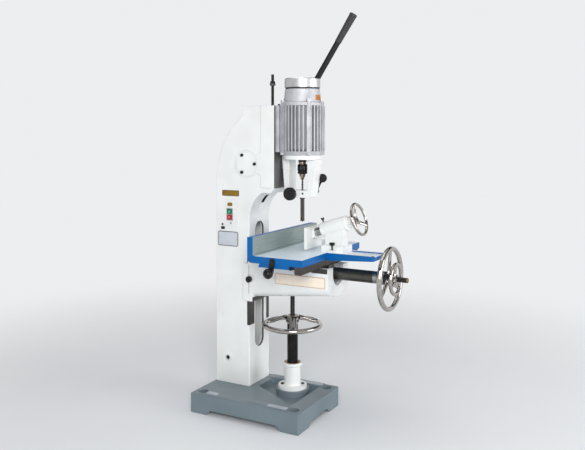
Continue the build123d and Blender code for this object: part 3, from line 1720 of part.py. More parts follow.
# Table: an angle casting with its fence, a way block underneath and an arm towards the operator
fence_front_reach = fence_rear_reach + fence_thickness
table_left = across(-table_length / 2)
with BuildPart() as table:
    with BuildSketch(Plane.YZ.offset(table_left)) as angle:
        with BuildLine():
            Polyline(
                (ahead(fence_rear_reach), table_low),
                (ahead(way_block_rear_reach + way_block_lean), table_low),
                (ahead(way_block_rear_reach), block_low),
                (ahead(way_block_front_reach), block_low),
                (ahead(way_block_front_reach), table_low),
                (ahead(table_front_reach), table_low),
                (ahead(table_front_reach), table_top),
                (ahead(fence_front_reach), table_top),
                (ahead(fence_front_reach), table_top + fence_height),
                (ahead(fence_rear_reach), table_top + fence_height),
                close=True,
            )
        make_face()
        heel = angle.vertices().group_by(Axis.X)[-1].sort_by(Axis.Y)[0]
        fillet(heel, fence_heel_round)
    extrude(amount=table_length)
    # Groove that fits the saddle's dovetail
    groove_top = way_low + dovetail_height + end_gap
    groove_narrow = dovetail_low + 2 * fit_gap
    groove_wide = groove_narrow + dovetail_flank * (groove_top - way_low)
    groove = [
        (ahead(block_middle - groove_narrow), way_low),
        (ahead(block_middle + groove_narrow), way_low),
        (ahead(block_middle + groove_wide), groove_top),
        (ahead(block_middle - groove_wide), groove_top),
    ]
    prism(Plane.YZ.offset(table_left), groove, table_length, Mode.SUBTRACT)
    # Arm, thinner at its end
    arm = [
        (ahead(table_front_reach - edge_round), table_top),
        (ahead(table_front_reach - edge_round), table_low),
        (ahead(table_front_reach), table_top - arm_root),
        (ahead(arm_reach), table_top - arm_end),
        (ahead(arm_reach), table_top),
    ]
    prism(Plane.YZ.offset(across(-arm_width / 2)), arm, arm_width)
    front_corners = table.edges().filter_by(Axis.Z).group_by(Axis.Y)[0]
    fillet(front_corners, arm_corner)
    # Channel in the arm's top that guides the vise
    block(
        across(-vise_foot_width / 2 - fit_gap),
        across(vise_foot_width / 2 + fit_gap),
        ahead(arm_reach),
        ahead(vise_foot_rear - end_gap),
        table_top - arm_channel,
        table_top,
        Mode.SUBTRACT,
    )
    # Bore of the lock lever
    pivot_height = table_top - table_lever_drop
    pivot_origin = (table_left, ahead(table_lever_reach), pivot_height)
    pivot_axis = Plane(origin=pivot_origin, x_dir=(0, 1, 0), z_dir=(-1, 0, 0))
    ring(pivot_axis, table_lever_boss / 2 + fit_gap, 0, -3 * table_lever_boss, edge_round, Mode.SUBTRACT)
save(table, "table")

# Rack under the table's front edge, in mesh with the pinion below it
traverse_pitch = math.pi * traverse_module
table_rack_count = math.floor(table_length / traverse_pitch / 2) * 2
table_rack_first = column_x - (table_rack_count - 1) / 2 * traverse_pitch
with BuildPart() as table_rack:
    rack_plane = Plane(
        origin=(0, ahead(rack_middle_reach + rack_depth / 2), rack_tip_height),
        x_dir=(1, 0, 0),
        z_dir=(0, 1, 0),
    )
    outline = rack_outline(traverse_module, table_rack_first, table_rack_count, rack_height)
    prism(rack_plane, [(along, -depth) for along, depth in outline], rack_depth)
save(table_rack, "table_rack")

# Lock lever that hangs at the table's left end, with its ball
lever_hang = math.radians(table_lever_lean)
hang_rear = table_lever_length * math.sin(lever_hang)
hang_down = table_lever_length * math.cos(lever_hang)
ball_centre = (
    table_left - end_gap - table_lever_thickness - table_ball_diameter / 2 + edge_round,
    pivot_origin[1] + hang_rear,
    pivot_height - hang_down,
)
with BuildPart() as table_lock_lever:
    ring(pivot_axis, table_lever_boss / 2, 0, -2 * table_lever_boss, table_lever_thickness)
    with BuildSketch(pivot_axis.offset(end_gap)):
        with Locations((hang_rear / 2, hang_down / 2)):
            SlotOverall(
                table_lever_length + table_lever_width,
                table_lever_width,
                rotation=90 - table_lever_lean,
            )
    extrude(amount=table_lever_thickness)
    ball(Plane(origin=ball_centre, x_dir=(0, 1, 0), z_dir=(-1, 0, 0)), table_ball_diameter)
save(table_lock_lever, "table_lock_lever")

# Vise: a body in the arm's channel with a tilted barrel, and a ram that its screw drives
jaw_front_along = jaw_thickness / math.cos(vise_lean)
boss_end = jaw_front_along + jaw_boss
ram_end = vise_barrel_start + ram_hidden
bore_end = ram_end + ram_travel + end_gap
barrel_end = vise_barrel_start + vise_barrel_length
cap_end = barrel_end + vise_cap
ring_end = cap_end + vise_ring
vise_foot_low = table_top - arm_channel + fit_gap
vise_foot_top = table_top + vise_foot_height
vise_screw_radius = vise_screw_diameter / 2
lock_offset = -vise_foot_width / 2 - vise_ear / 2
ear_top = table_top + vise_ear_height


def on_vise_axis(reach):
    """The height of the vise's axis this far in front of the column."""
    return vise_origin[2] + (reach - jaw_reach) * math.tan(vise_lean)


with BuildPart() as vise_body:
    block(
        across(-vise_foot_width / 2),
        across(vise_foot_width / 2),
        ahead(vise_foot_front),
        ahead(vise_foot_rear),
        vise_foot_low,
        vise_foot_top,
    )
    fillet(vise_body.faces().sort_by(Axis.Z)[-1].edges(), edge_round)
    neck_rear = vise_foot_rear + vise_neck_inset
    neck_front = vise_foot_front - vise_neck_inset
    neck = [
        (ahead(neck_rear), vise_foot_top - edge_round),
        (ahead(neck_front), vise_foot_top - edge_round),
        (ahead(neck_front), on_vise_axis(neck_front)),
        (ahead(neck_rear), on_vise_axis(neck_rear)),
    ]
    prism(Plane.YZ.offset(across(-vise_neck_width / 2)), neck, vise_neck_width)
    turn(
        vise_axis,
        [
            (0, vise_barrel_start),
            (vise_barrel_diameter / 2 - edge_round / 2, vise_barrel_start),
            (vise_barrel_diameter / 2, vise_barrel_start + edge_round / 2),
            (vise_barrel_diameter / 2, barrel_end - edge_round / 2),
            (vise_barrel_diameter / 2 - edge_round / 2, barrel_end),
            (vise_cap_diameter / 2, barrel_end),
            (vise_cap_diameter / 2, cap_end),
            (vise_ring_diameter / 2, cap_end),
            (vise_ring_diameter / 2, ring_end),
            (0, ring_end),
        ],
    )
    block(
        across(-vise_foot_width / 2 - vise_ear),
        across(-vise_foot_width / 2 + edge_round),
        ahead(vise_lock_reach + vise_ear_length / 2),
        ahead(vise_lock_reach - vise_ear_length / 2),
        table_top + fit_gap,
        ear_top,
    )
    ring(vise_axis, ram_diameter / 2 + fit_gap, 0, 0, bore_end, Mode.SUBTRACT)
    ring(vise_axis, vise_screw_radius + fit_gap, 0, 0, 2 * ring_end, Mode.SUBTRACT)
    ear_axis = Plane(origin=(across(lock_offset), ahead(vise_lock_reach), 0))
    ring(ear_axis, vise_lock_stem / 2 + fit_gap, 0, table_top, 2 * ear_top, Mode.SUBTRACT)
save(vise_body, "vise_body")

with BuildPart() as vise_ram:
    ring(vise_axis, ram_diameter / 2, vise_screw_radius + fit_gap, boss_end, ram_end)
save(vise_ram, "vise_ram")

with BuildPart() as vise_jaw:
    jaw_low = table_top + jaw_above_table
    ring(vise_axis, jaw_boss_diameter / 2, 0, -jaw_boss, boss_end)
    block(
        across(-jaw_width_across / 2),
        across(jaw_width_across / 2),
        ahead(jaw_reach),
        ahead(jaw_reach - jaw_boss_diameter),
        jaw_low,
        jaw_low + 2 * jaw_height,
        Mode.SUBTRACT,
    )
    jaw_high = jaw_low + jaw_height
    jaw_front = jaw_reach + jaw_thickness
    plate = [
        (ahead(jaw_reach), jaw_low),
        (ahead(jaw_front), jaw_low),
        (ahead(jaw_front), jaw_high - edge_round / 2),
        (ahead(jaw_front - edge_round / 2), jaw_high),
        (ahead(jaw_reach), jaw_high),
    ]
    prism(Plane.YZ.offset(across(-jaw_width_across / 2)), plate, jaw_width_across)
save(vise_jaw, "vise_jaw")

vise_hub_low = ring_end + end_gap
vise_hub_end = vise_hub_low + vise_hub_length
with BuildPart() as vise_screw:
    ring(vise_axis, vise_screw_radius, 0, boss_end + ram_travel + end_gap, vise_hub_end)
save(vise_screw, "vise_screw")

vise_rim = vise_hub_low + vise_hub_length / 2 + vise_wheel_dish
with BuildPart() as vise_handwheel:
    handwheel(
        vise_axis.offset(vise_rim),
        vise_wheel_diameter,
        vise_wheel_rim,
        vise_wheel_dish,
        vise_hub_diameter,
        vise_hub_low - vise_rim,
        vise_hub_length,
        vise_screw_radius + fit_gap,
        vise_spoke,
    )
save(vise_handwheel, "vise_handwheel")

with BuildPart() as vise_lock_screw:
    knob_low = ear_top + vise_lock_rise
    ring(ear_axis, vise_lock_stem / 2, 0, table_top + end_gap, knob_low + vise_lock_knob / 2)
    turn(
        ear_axis,
        [
            (0, knob_low),
            (vise_lock_diameter / 3, knob_low),
            (vise_lock_diameter / 2, knob_low + vise_lock_knob / 3),
            (vise_lock_diameter / 2, knob_low + vise_lock_knob * 2 / 3),
            (vise_lock_diameter / 3, knob_low + vise_lock_knob),
            (0, knob_low + vise_lock_knob),
        ],
    )
save(vise_lock_screw, "vise_lock_screw")
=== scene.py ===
"""Looks of a floor-standing vertical mortiser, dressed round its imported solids."""

import logging
import math
from dataclasses import dataclass, replace
from enum import Enum
from typing import Callable, ClassVar, Optional, Sequence, Union

import bmesh
import bpy
from mathutils import Matrix, Vector


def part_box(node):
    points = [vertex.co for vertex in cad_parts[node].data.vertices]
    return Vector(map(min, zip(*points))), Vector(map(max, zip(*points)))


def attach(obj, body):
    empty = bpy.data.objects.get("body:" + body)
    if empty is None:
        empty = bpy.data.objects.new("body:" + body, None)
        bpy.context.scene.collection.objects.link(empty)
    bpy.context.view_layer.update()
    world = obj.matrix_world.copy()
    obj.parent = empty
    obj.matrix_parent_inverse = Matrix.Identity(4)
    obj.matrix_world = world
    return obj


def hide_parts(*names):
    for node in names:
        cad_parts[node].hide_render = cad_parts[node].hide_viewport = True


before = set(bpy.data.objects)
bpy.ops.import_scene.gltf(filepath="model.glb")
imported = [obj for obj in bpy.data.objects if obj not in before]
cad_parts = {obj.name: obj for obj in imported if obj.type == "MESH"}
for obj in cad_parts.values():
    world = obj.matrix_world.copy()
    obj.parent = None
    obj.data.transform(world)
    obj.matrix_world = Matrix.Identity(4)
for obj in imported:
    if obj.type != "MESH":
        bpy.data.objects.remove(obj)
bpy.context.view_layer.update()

LOG = logging.getLogger("mortiser")
MM = 0.001
TINY = 1e-6
THREAD_FLANK, THREAD_CREST, THREAD_STEPS = 2.6, 0.25, 6
SOCKET_SHARE, BEVEL_SHARE, SOCKET_FLOOR = 0.29, 0.08, 0.4
SUNK = 0.3
COLUMN_X = 88.5
COLUMN_FRONT = 86.5
SPINDLE_REACH = 232.05

Point = Union[Vector, Sequence[float]]
Pair = tuple[float, float]
Triple = tuple[float, float, float]
Quad = tuple[float, float, float, float]
Profile = Sequence[Pair]
Shape = Callable[[float, float, float], float]
Socket = bpy.types.NodeSocket
LEFT, RIGHT, FRONT, UP = (-1.0, 0.0, 0.0), (1.0, 0.0, 0.0), (0.0, -1.0, 0.0), (0.0, 0.0, 1.0)


def at(offset: float, reach: float, height: float) -> Vector:
    """Turn millimetres to the right, to the front and above the floor, at the column, into a point of the frame."""
    return Vector((COLUMN_X + offset, COLUMN_FRONT - reach, height)) * MM


def stand(origin: Point, axis: Point = UP, across: Point = RIGHT) -> Matrix:
    """Make the matrix that puts a form drawn in millimetres on an axis.

    Args:
        origin: where the form's own origin goes, in metres.
        axis: the direction of the form's own Z.
        across: a direction that the form's own X leans towards.

    Returns:
        A matrix that also turns millimetres into metres.
    """
    z_dir = Vector(axis).normalized()
    x_dir = Vector(across) - z_dir * Vector(across).dot(z_dir)
    x_dir = x_dir.normalized() if x_dir.length > TINY else z_dir.orthogonal().normalized()
    turn = Matrix((x_dir, z_dir.cross(x_dir), z_dir)).transposed().to_4x4()
    return Matrix.Translation(Vector(origin)) @ turn @ Matrix.Scale(MM, 4)


def linear(hex_colour: str) -> Quad:
    """Turn an sRGB hex colour into the linear colour that a shader takes.

    Args:
        hex_colour: a hash and six hex digits.

    Returns:
        Red, green, blue and alpha.
    """
    parts = [int(hex_colour[i:i + 2], 16) / 255 for i in (1, 3, 5)]
    made = [c / 12.92 if c <= 0.04045 else ((c + 0.055) / 1.055) ** 2.4 for c in parts]
    return (made[0], made[1], made[2], 1.0)


class Draft:
    """A material in the making: its node tree, the place on the object in metres, and the shader's output."""

    octaves: ClassVar[float] = 2.0
    bump: ClassVar[float] = 0.5
    bevel_rays: ClassVar[int] = 4

    def __init__(self, name: str, metallic: float) -> None:
        """Start a material with one shader.

        Args:
            name: the material's name.
            metallic: how far it is a metal, from 0 to 1.
        """
        self.material = bpy.data.materials.new(name)
        self.material.use_nodes = True
        self.tree = self.material.node_tree
        self.tree.nodes.clear()
        self.place = self.add("TexCoord")["Object"]
        self.surface = self.add("BsdfPrincipled", {"Metallic": metallic})[0]
        self.add("OutputMaterial", {"Surface": self.surface})

    def add(self, kind: str, inputs: Optional[dict] = None, **settings) -> Sequence[Socket]:
        """Add one node, with its settings and its links.

        Args:
            kind: the node's type, without the words ShaderNode.
            inputs: a value, or the output to link, for each input by name or number.
            settings: the node's own properties; ramp gives a colour ramp's stops.

        Returns:
            The new node's outputs.
        """
        node = self.tree.nodes.new("ShaderNode" + kind)
        stops = settings.pop("ramp", ())
        for name, value in settings.items():
            setattr(node, name, value)
        self.plug(node, inputs or {})
        for point, (place, colour) in zip(node.color_ramp.elements if stops else (), stops):
            point.position = place
            point.color = colour
        return node.outputs

    def plug(self, node: bpy.types.Node, inputs: dict) -> None:
        """Set or link some inputs of a node.

        Args:
            node: the node.
            inputs: a value, or the output to link, for each input by name or number.
        """
        for key, value in inputs.items():
            if isinstance(value, Socket):
                self.tree.links.new(value, node.inputs[key])
            else:
                node.inputs[key].default_value = value

    def show(self, inputs: dict) -> None:
        """Set or link some inputs of the shader."""
        self.plug(self.surface.node, inputs)

    def noise(self, size: float, marks: Sequence[float] = (1.0, 1.0, 1.0)) -> Socket:
        """Add noise whose lumps have a real size in millimetres, drawn out by marks along each axis; less is longer."""
        spread = self.add("VectorMath", {0: self.place, 1: marks}, operation="MULTIPLY")[0]
        return self.add("TexNoise", {"Vector": spread, "Scale": 1 / (size * MM), "Detail": self.octaves})[0]

    def distance(self, middle: Point) -> Socket:
        """Tell how far the surface lies from an upright line.

        Args:
            middle: a point of the line, in metres.

        Returns:
            The distance in metres.
        """
        moved = self.add("VectorMath", {0: self.place, 1: middle}, operation="SUBTRACT")[0]
        flat = self.add("VectorMath", {0: moved, 1: (1.0, 1.0, 0.0)}, operation="MULTIPLY")[0]
        return self.add("VectorMath", {0: flat}, operation="LENGTH")["Value"]

    def relief(self, edge: float, *layers: tuple[Socket, float]) -> None:
        """Round the edges and lay reliefs over one another, by the normals alone.

        Args:
            edge: the edges' rounding in millimetres, or 0 for none.
            layers: each relief from 0 to 1, with what 1 stands for in millimetres.
        """
        normal = {"Normal": self.add("Bevel", {"Radius": edge * MM}, samples=self.bevel_rays)[0]} if edge else {}
        for height, depth in layers:
            inputs = {"Height": height, "Distance": depth * MM, "Strength": self.bump, **normal}
            normal = {"Normal": self.add("Bump", inputs)[0]}
        self.show(normal)


class Marks(Enum):
    """The way that a tool's marks run: along an axis, or in rings round it."""

    ALONG_X = (0.04, 1.0, 1.0)
    ALONG_Y = (1.0, 0.04, 1.0)
    ALONG_Z = (1.0, 1.0, 0.04)
    ROUND_X = (1.0, 0.04, 0.04)
    ROUND_Y = (0.04, 1.0, 0.04)
    ROUND_Z = (0.04, 0.04, 1.0)


@dataclass(frozen=True)
class Patch:
    """An unpainted area, or an area of painted shade or painted light, on a painted casting: its box in millimetres,
    its facing if it has one, its tones, its lines.
    """

    offsets: Pair
    reaches: Pair
    heights: Pair
    facing: Optional[Triple]
    dark: str
    bright: str
    lines: Marks
    roughness: float = 0.43
    metallic: float = 0.5
    unevenness: float = 0.12
    squarely: float = 0.7
    stops: Pair = (0.3, 0.75)

    def mask(self, draft: Draft) -> Socket:
        """Draw the area as a mask.

        Args:
            draft: the material in the making.

        Returns:
            An output that is 1 on the area and 0 elsewhere.
        """
        low = at(self.offsets[0], self.reaches[1], self.heights[0])
        high = at(self.offsets[1], self.reaches[0], self.heights[1])
        moved = draft.add("VectorMath", {0: draft.place, 1: (low + high) / 2}, operation="SUBTRACT")[0]
        size = draft.add("VectorMath", {0: moved}, operation="ABSOLUTE")[0]
        beyond = draft.add("VectorMath", {0: size, 1: (high - low) / 2}, operation="SUBTRACT")[0]
        parts = draft.add("SeparateXYZ", {0: beyond})
        most = draft.add("Math", {0: parts[0], 1: parts[1]}, operation="MAXIMUM")[0]
        most = draft.add("Math", {0: most, 1: parts[2]}, operation="MAXIMUM")[0]
        inside = draft.add("Math", {0: most, 1: 0.0}, operation="LESS_THAN")[0]
        if not self.facing:
            return inside
        normal = draft.add("NewGeometry")["True Normal"]
        towards = draft.add("VectorMath", {0: normal, 1: self.facing}, operation="DOT_PRODUCT")["Value"]
        faces = draft.add("Math", {0: towards, 1: self.squarely}, operation="GREATER_THAN")[0]
        return draft.add("Math", {0: inside, 1: faces}, operation="MULTIPLY")[0]


@dataclass(frozen=True)
class Finish:
    """One surface finish: its two tones as sRGB hex, its gloss, and the marks that it carries."""

    name: str
    colour: str
    second: str
    roughness: float
    metallic: float = 0.0

    stops: ClassVar[Pair] = (0.35, 0.68)
    spread: ClassVar[float] = 0.03

    def material(self) -> bpy.types.Material:
        """Give the finish's material, made on its first use.

        Returns:
            The material.
        """
        found = bpy.data.materials.get(self.name)
        if found:
            return found
        draft = Draft(self.name, self.metallic)
        self.paint(draft)
        return draft.material

    def paint(self, draft: Draft) -> None:
        """Draw the finish's own detail on a material in the making."""
        raise NotImplementedError

    def cloud(self, draft: Draft, value: Socket) -> Socket:
        """Cloud the base colour between the finish's two tones.

        Args:
            draft: the material in the making.
            value: what the tones follow.

        Returns:
            The clouded colour.
        """
        stops = list(zip(self.stops, (linear(self.colour), linear(self.second))))
        colour = draft.add("ValToRGB", {0: value}, ramp=stops)[0]
        draft.show({"Base Color": colour})
        return colour

    def gloss(self, draft: Draft, value: Socket) -> Socket:
        """Let the roughness vary round the finish's own, by its spread each way.

        Args:
            draft: the material in the making.
            value: what it varies with, from 0 to 1.

        Returns:
            The varied roughness.
        """
        inputs = {"Value": value, "To Min": self.roughness - self.spread, "To Max": self.roughness + self.spread}
        varied = draft.add("MapRange", inputs)[0]
        draft.show({"Roughness": varied})
        return varied


@dataclass(frozen=True)
class CastEnamel(Finish):
    """Enamel sprayed over filled cast iron.

    The eye sees soft waves where the filler was rubbed down, a fine orange peel in the gloss, a tone that
    drifts a little, and unpainted metal with planer lines on the machined patches; the other patches are painted shade
    and painted light.
    """

    patches: tuple[Patch, ...] = ()
    edge: float = 1.8
    gleam: float = 0.5
    coat: float = 0.2
    coat_roughness: float = 0.12
    drift: float = 160.0
    wave: float = 55.0
    wave_depth: float = 0.2
    # Peel of about 2.5 mm, twice the real one so that it shows
    peel: float = 2.5
    peel_depth: float = 0.025
    line: float = 1.6

    spread: ClassVar[float] = 0.06

    def paint(self, draft: Draft) -> None:
        """Draw the enamel, its orange peel and its patches of machined metal, painted shade and painted light.

        Args:
            draft: the material in the making.
        """
        colour = self.cloud(draft, draft.noise(self.drift))
        waves, peel = draft.noise(self.wave), draft.noise(self.peel)
        rough = self.gloss(draft, waves)
        if self.patches:
            left = self.lay_metal_and_painted_light(draft, colour, rough)
            waves, peel = (draft.add("Math", {0: grain, 1: left}, operation="MULTIPLY")[0] for grain in (waves, peel))
        draft.relief(self.edge, (waves, self.wave_depth), (peel, self.peel_depth))
        draft.show({"Specular IOR Level": self.gleam, "Coat Weight": self.coat, "Coat Roughness": self.coat_roughness})

    def lay_metal_and_painted_light(self, draft: Draft, colour: Socket, rough: Socket) -> Socket:
        """Lay each patch over the paint: machined metal, painted shade or painted light.

        Args:
            draft: the material in the making.
            colour: the paint's colour.
            rough: the paint's roughness.

        Returns:
            An output that is 1 where the paint is left.
        """
        covered: Union[float, Socket] = 0.0
        metallic: Union[float, Socket] = 0.0
        for patch in self.patches:
            mask = patch.mask(draft)
            cut = draft.noise(self.line, patch.lines.value)
            stops = list(zip(patch.stops, (linear(patch.dark), linear(patch.bright))))
            # The patch's tone: machined metal on the ways, painted shade or painted light on the others
            metal = draft.add("ValToRGB", {0: cut}, ramp=stops)[0]
            colour = draft.add("Mix", {0: mask, 6: colour, 7: metal}, data_type="RGBA")[2]
            spread = {"Value": cut, "To Min": patch.roughness * (1 - patch.unevenness),
                      "To Max": patch.roughness * (1 + patch.unevenness)}
            dull = draft.add("MapRange", spread)[0]
            rough = draft.add("Mix", {0: mask, 2: rough, 3: dull})[0]
            covered = draft.add("Math", {0: covered, 1: mask}, operation="MAXIMUM")[0]
            metallic = draft.add("Mix", {0: mask, 2: metallic, 3: patch.metallic})[0]
        draft.show({"Base Color": colour, "Roughness": rough, "Metallic": metallic})
        return draft.add("Math", {0: 1.0, 1: covered}, operation="SUBTRACT")[0]


@dataclass(frozen=True)
class WorkedMetal(Finish):
    """Turned, ground, planed or blackened metal.

    The eye sees fine lines that all run one way, a highlight drawn out across them, and a faint stain.
    """

    marks: Marks = Marks.ALONG_X
    line: float = 0.9
    depth: float = 0.015
    stain: float = 30.0
    edge: float = 0.7

    spread: ClassVar[float] = 0.08

    def paint(self, draft: Draft) -> None:
        """Draw the tool marks and the stains.

        Args:
            draft: the material in the making.
        """
        lines = draft.noise(self.line, self.marks.value)
        both = draft.add("Math", {0: draft.noise(self.stain), 1: lines}, operation="ADD")[0]
        self.cloud(draft, draft.add("Math", {0: both, 1: 0.5}, operation="MULTIPLY")[0])
        self.gloss(draft, lines)
        draft.relief(self.edge, (lines, self.depth))

    def along(self, marks: Marks) -> "WorkedMetal":
        """Give the same metal with its marks along another way."""
        return replace(self, name=f"{self.name}_{marks.name.lower()}", marks=marks)


@dataclass(frozen=True)
class Plating(Finish):
    """Bright chromium over buffed steel, or polished sheet.

    The eye sees the room in it, bent by the slight waves that buffing leaves, under a thin grey haze.
    """

    wave: float = 22.0
    swell: float = 0.012
    haze: float = 9.0

    def paint(self, draft: Draft) -> None:
        """Draw the buffing waves and the haze.

        Args:
            draft: the material in the making.
        """
        haze = draft.noise(self.haze)
        self.cloud(draft, haze)
        self.gloss(draft, haze)
        draft.relief(0.0, (draft.noise(self.wave), self.swell))


@dataclass(frozen=True)
class SilverCoat(Finish):
    """Silver paint over a sand-cast aluminium motor.

    The eye sees a grey with tiny bright flakes and a grainy skin from the sand, with painted shade in the hollows.
    fins gives the fins' root and tip radii and their lower and upper ends; painted shade lies between them and is
    darkest at their feet.
    """

    fins: tuple[float, ...] = ()
    # Tones of the painted shade between the fins: higher up, and at their feet
    fin_shade: str = "#828387"
    root_shade: str = "#2c2c2e"
    shade_rise: float = 14.0
    tone: float = 45.0
    # Sand grain of 0.8 mm, drawn about twice as coarse so that it shows
    grain: float = 1.7
    grain_depth: float = 0.09
    edge: float = 1.2

    spread: ClassVar[float] = 0.1

    def paint(self, draft: Draft) -> None:
        """Draw the clouded tone, the painted shade between the fins and the sand-cast grain.

        Args:
            draft: the material in the making.
        """
        colour = self.cloud(draft, draft.noise(self.tone))
        if self.fins:
            draft.show({"Base Color": self.shade_between_fins(draft, colour)})
        grain = draft.noise(self.grain)
        self.gloss(draft, grain)
        draft.relief(self.edge, (grain, self.grain_depth))

    def shade_between_fins(self, draft: Draft, colour: Socket) -> Socket:
        """Paint shade between the fins, full at their roots and none at their tips or beyond their ends.

        Args:
            draft: the material in the making.
            colour: the paint's colour without the shade.

        Returns:
            The colour with the painted shade.
        """
        root, tip, low, high = (size * MM for size in self.fins)
        far = draft.distance(at(0, SPINDLE_REACH, 0))
        inward = draft.add("MapRange", {"Value": far, "From Min": tip, "From Max": root})[0]
        height = draft.add("SeparateXYZ", {0: draft.place})[2]
        middle = {0: height, 1: (low + high) / 2, 2: (high - low) / 2}
        between = draft.add("Math", middle, operation="COMPARE")[0]
        deep = draft.add("Math", {0: inward, 1: between}, operation="MULTIPLY")[0]
        # Painted shade: darkest at the fins' feet, lighter a little way above them
        rising_from_feet = {"Value": height, "From Min": low, "From Max": low + self.shade_rise * MM}
        tones = {0: draft.add("MapRange", rising_from_feet)[0], 6: linear(self.root_shade), 7: linear(self.fin_shade)}
        shade_between_fins = draft.add("Mix", tones, data_type="RGBA")[2]
        return draft.add("Mix", {0: deep, 6: colour, 7: shade_between_fins}, data_type="RGBA")[2]


@dataclass(frozen=True)
class Moulding(Finish):
    """Moulded plastic, phenolic or rubber.

    The eye sees an even colour with a clean highlight, a faint flow pattern and a slightly sunk skin.
    """

    grain: float = 3.0
    depth: float = 0.02
    gleam: float = 0.5
    flow: float = 12.0
    edge: float = 0.6

    spread: ClassVar[float] = 0.05

    def paint(self, draft: Draft) -> None:
        """Draw the flow pattern and the skin.

        Args:
            draft: the material in the making.
        """
        self.cloud(draft, draft.noise(self.flow))
        skin = draft.noise(self.grain)
        self.gloss(draft, skin)
        draft.relief(self.edge, (skin, self.depth))
        draft.show({"Specular IOR Level": self.gleam})


@dataclass(frozen=True)
class StudioPaper(Finish):
    """Matt seamless paper, pale on the floor and low wall, with a dim room above that bright metal mirrors."""

    dim: str = "#4a4c50"
    dim_span: Pair = (3.6, 5.0)
    pale_span: Pair = (0.5, 3.2)
    mottle: float = 900.0

    def paint(self, draft: Draft) -> None:
        """Draw the mottle, the dim upper wall and the pale backdrop that camera and metal see.

        Args:
            draft: the material in the making.
        """
        mottle = draft.noise(self.mottle)
        pale = self.cloud(draft, mottle)
        self.gloss(draft, mottle)
        height, far = draft.add("SeparateXYZ", {0: draft.place})[2], draft.distance((0.0, 0.0, 0.0))
        high, wide = (draft.add("MapRange", {"Value": value, "From Min": start, "From Max": end},
                                interpolation_type="SMOOTHSTEP")[0]
                      for value, (start, end) in ((height, self.dim_span), (far, self.pale_span)))
        walls = draft.add("Mix", {0: high, 6: pale, 7: linear(self.dim)}, data_type="RGBA")[2]
        draft.show({"Base Color": walls})
        low = draft.add("Math", {0: 1.0, 1: high}, operation="SUBTRACT")[0]
        part = draft.add("Math", {0: wide, 1: low}, operation="MULTIPLY")[0]
        ray = draft.add("LightPath")
        seen = draft.add("Math", {0: ray["Is Camera Ray"], 1: ray["Is Glossy Ray"]}, operation="MAXIMUM")[0]
        seen = draft.add("Math", {0: seen, 1: ray["Is Transmission Ray"]}, operation="MAXIMUM")[0]
        share = draft.add("Math", {0: part, 1: seen}, operation="MULTIPLY")[0]
        glow = draft.add("Emission", {"Color": linear(self.colour)})[0]
        surface = draft.add("MixShader", {0: share, 1: draft.surface, 2: glow})[0]
        draft.plug(draft.tree.get_output_node("ALL"), {"Surface": surface})


# Dark oiled steel of the ways, also used as the tone of painted shade
OILED_WAY_AND_PAINTED_SHADE = ("#2f2e2b", "#454440", Marks.ALONG_Z)
PLANED_WAY = ("#565655", "#6e6f70", Marks.ALONG_Z)
WAYS_AND_SLOT_SHADE = (
    Patch((-91.0, -45.0), (-1.0, 1.0), (370.0, 700.0), FRONT, *OILED_WAY_AND_PAINTED_SHADE),
    Patch((62.0, 91.0), (-1.0, 1.0), (370.0, 700.0), FRONT, *OILED_WAY_AND_PAINTED_SHADE),
    Patch((-92.0, -89.0), (-12.0, 1.0), (370.0, 700.0), LEFT, *OILED_WAY_AND_PAINTED_SHADE),
    Patch((89.0, 92.0), (-12.0, 1.0), (370.0, 700.0), RIGHT, *OILED_WAY_AND_PAINTED_SHADE),
    Patch((-100.0, 100.0), (135.0, 139.0), (1010.0, 1395.0), FRONT, *PLANED_WAY),
    # The front slot's cut walls: bare cut metal, darkened nearly to black as painted shade
    Patch((-39.5, 39.5), (-8.5, -0.3), (252.0, 848.0), None, "#131312", "#222120", Marks.ALONG_Z),
    # The soffit slot's walls: bare iron in the dark oiled tone, as painted shade
    Patch((-13.3, 13.3), (3.8, 44.2), (935.0, 1019.0), None, *OILED_WAY_AND_PAINTED_SHADE),
)
KNEE_PAINTED_SHADE = (
    # Painted shadow: a dark band on the carriage's front face under the knee
    Patch((-105.0, 105.0), (24.0, 26.0), (480.0, 505.0), FRONT, *OILED_WAY_AND_PAINTED_SHADE),
    # Painted shade: a dark patch that stands for the opening in the upper edge of the knee's left wall, which the solid
    # lacks
    Patch((-105.0, -102.0), (331.0, 410.0), (647.5, 670.0), LEFT, *OILED_WAY_AND_PAINTED_SHADE),
)
GROUND_TOP = ("#e0eff9", "#ecf6fc", Marks.ALONG_X, 0.36, 0.1)
# Ground top in a lighter tone for the front arm: painted light
GROUND_ARM_PAINTED_LIGHTER = ("#eef2f5", "#f8fafb", Marks.ALONG_Y, 0.34, 0.1)
GROUND_FENCE = ("#899795", "#a2aeab", Marks.ALONG_X)
TABLE_FACES = (
    Patch((-300.0, 300.0), (120.0, 388.0), (728.0, 737.0), UP, *GROUND_TOP),
    # The arm's top, lighter than the rest as painted light
    Patch((-300.0, 300.0), (388.0, 620.0), (728.0, 737.0), UP, *GROUND_ARM_PAINTED_LIGHTER),
    Patch((-300.0, 300.0), (154.0, 158.0), (730.0, 820.0), FRONT, *GROUND_FENCE),
    Patch((-300.0, 300.0), (146.0, 158.0), (738.0, 818.0), None, *GROUND_FENCE),
    # Painted shade: a darker line along the foot of the fence face
    Patch((-300.0, 300.0), (154.0, 158.0), (742.0, 744.5), FRONT, "#5d6866", "#707b79", Marks.ALONG_X),
)

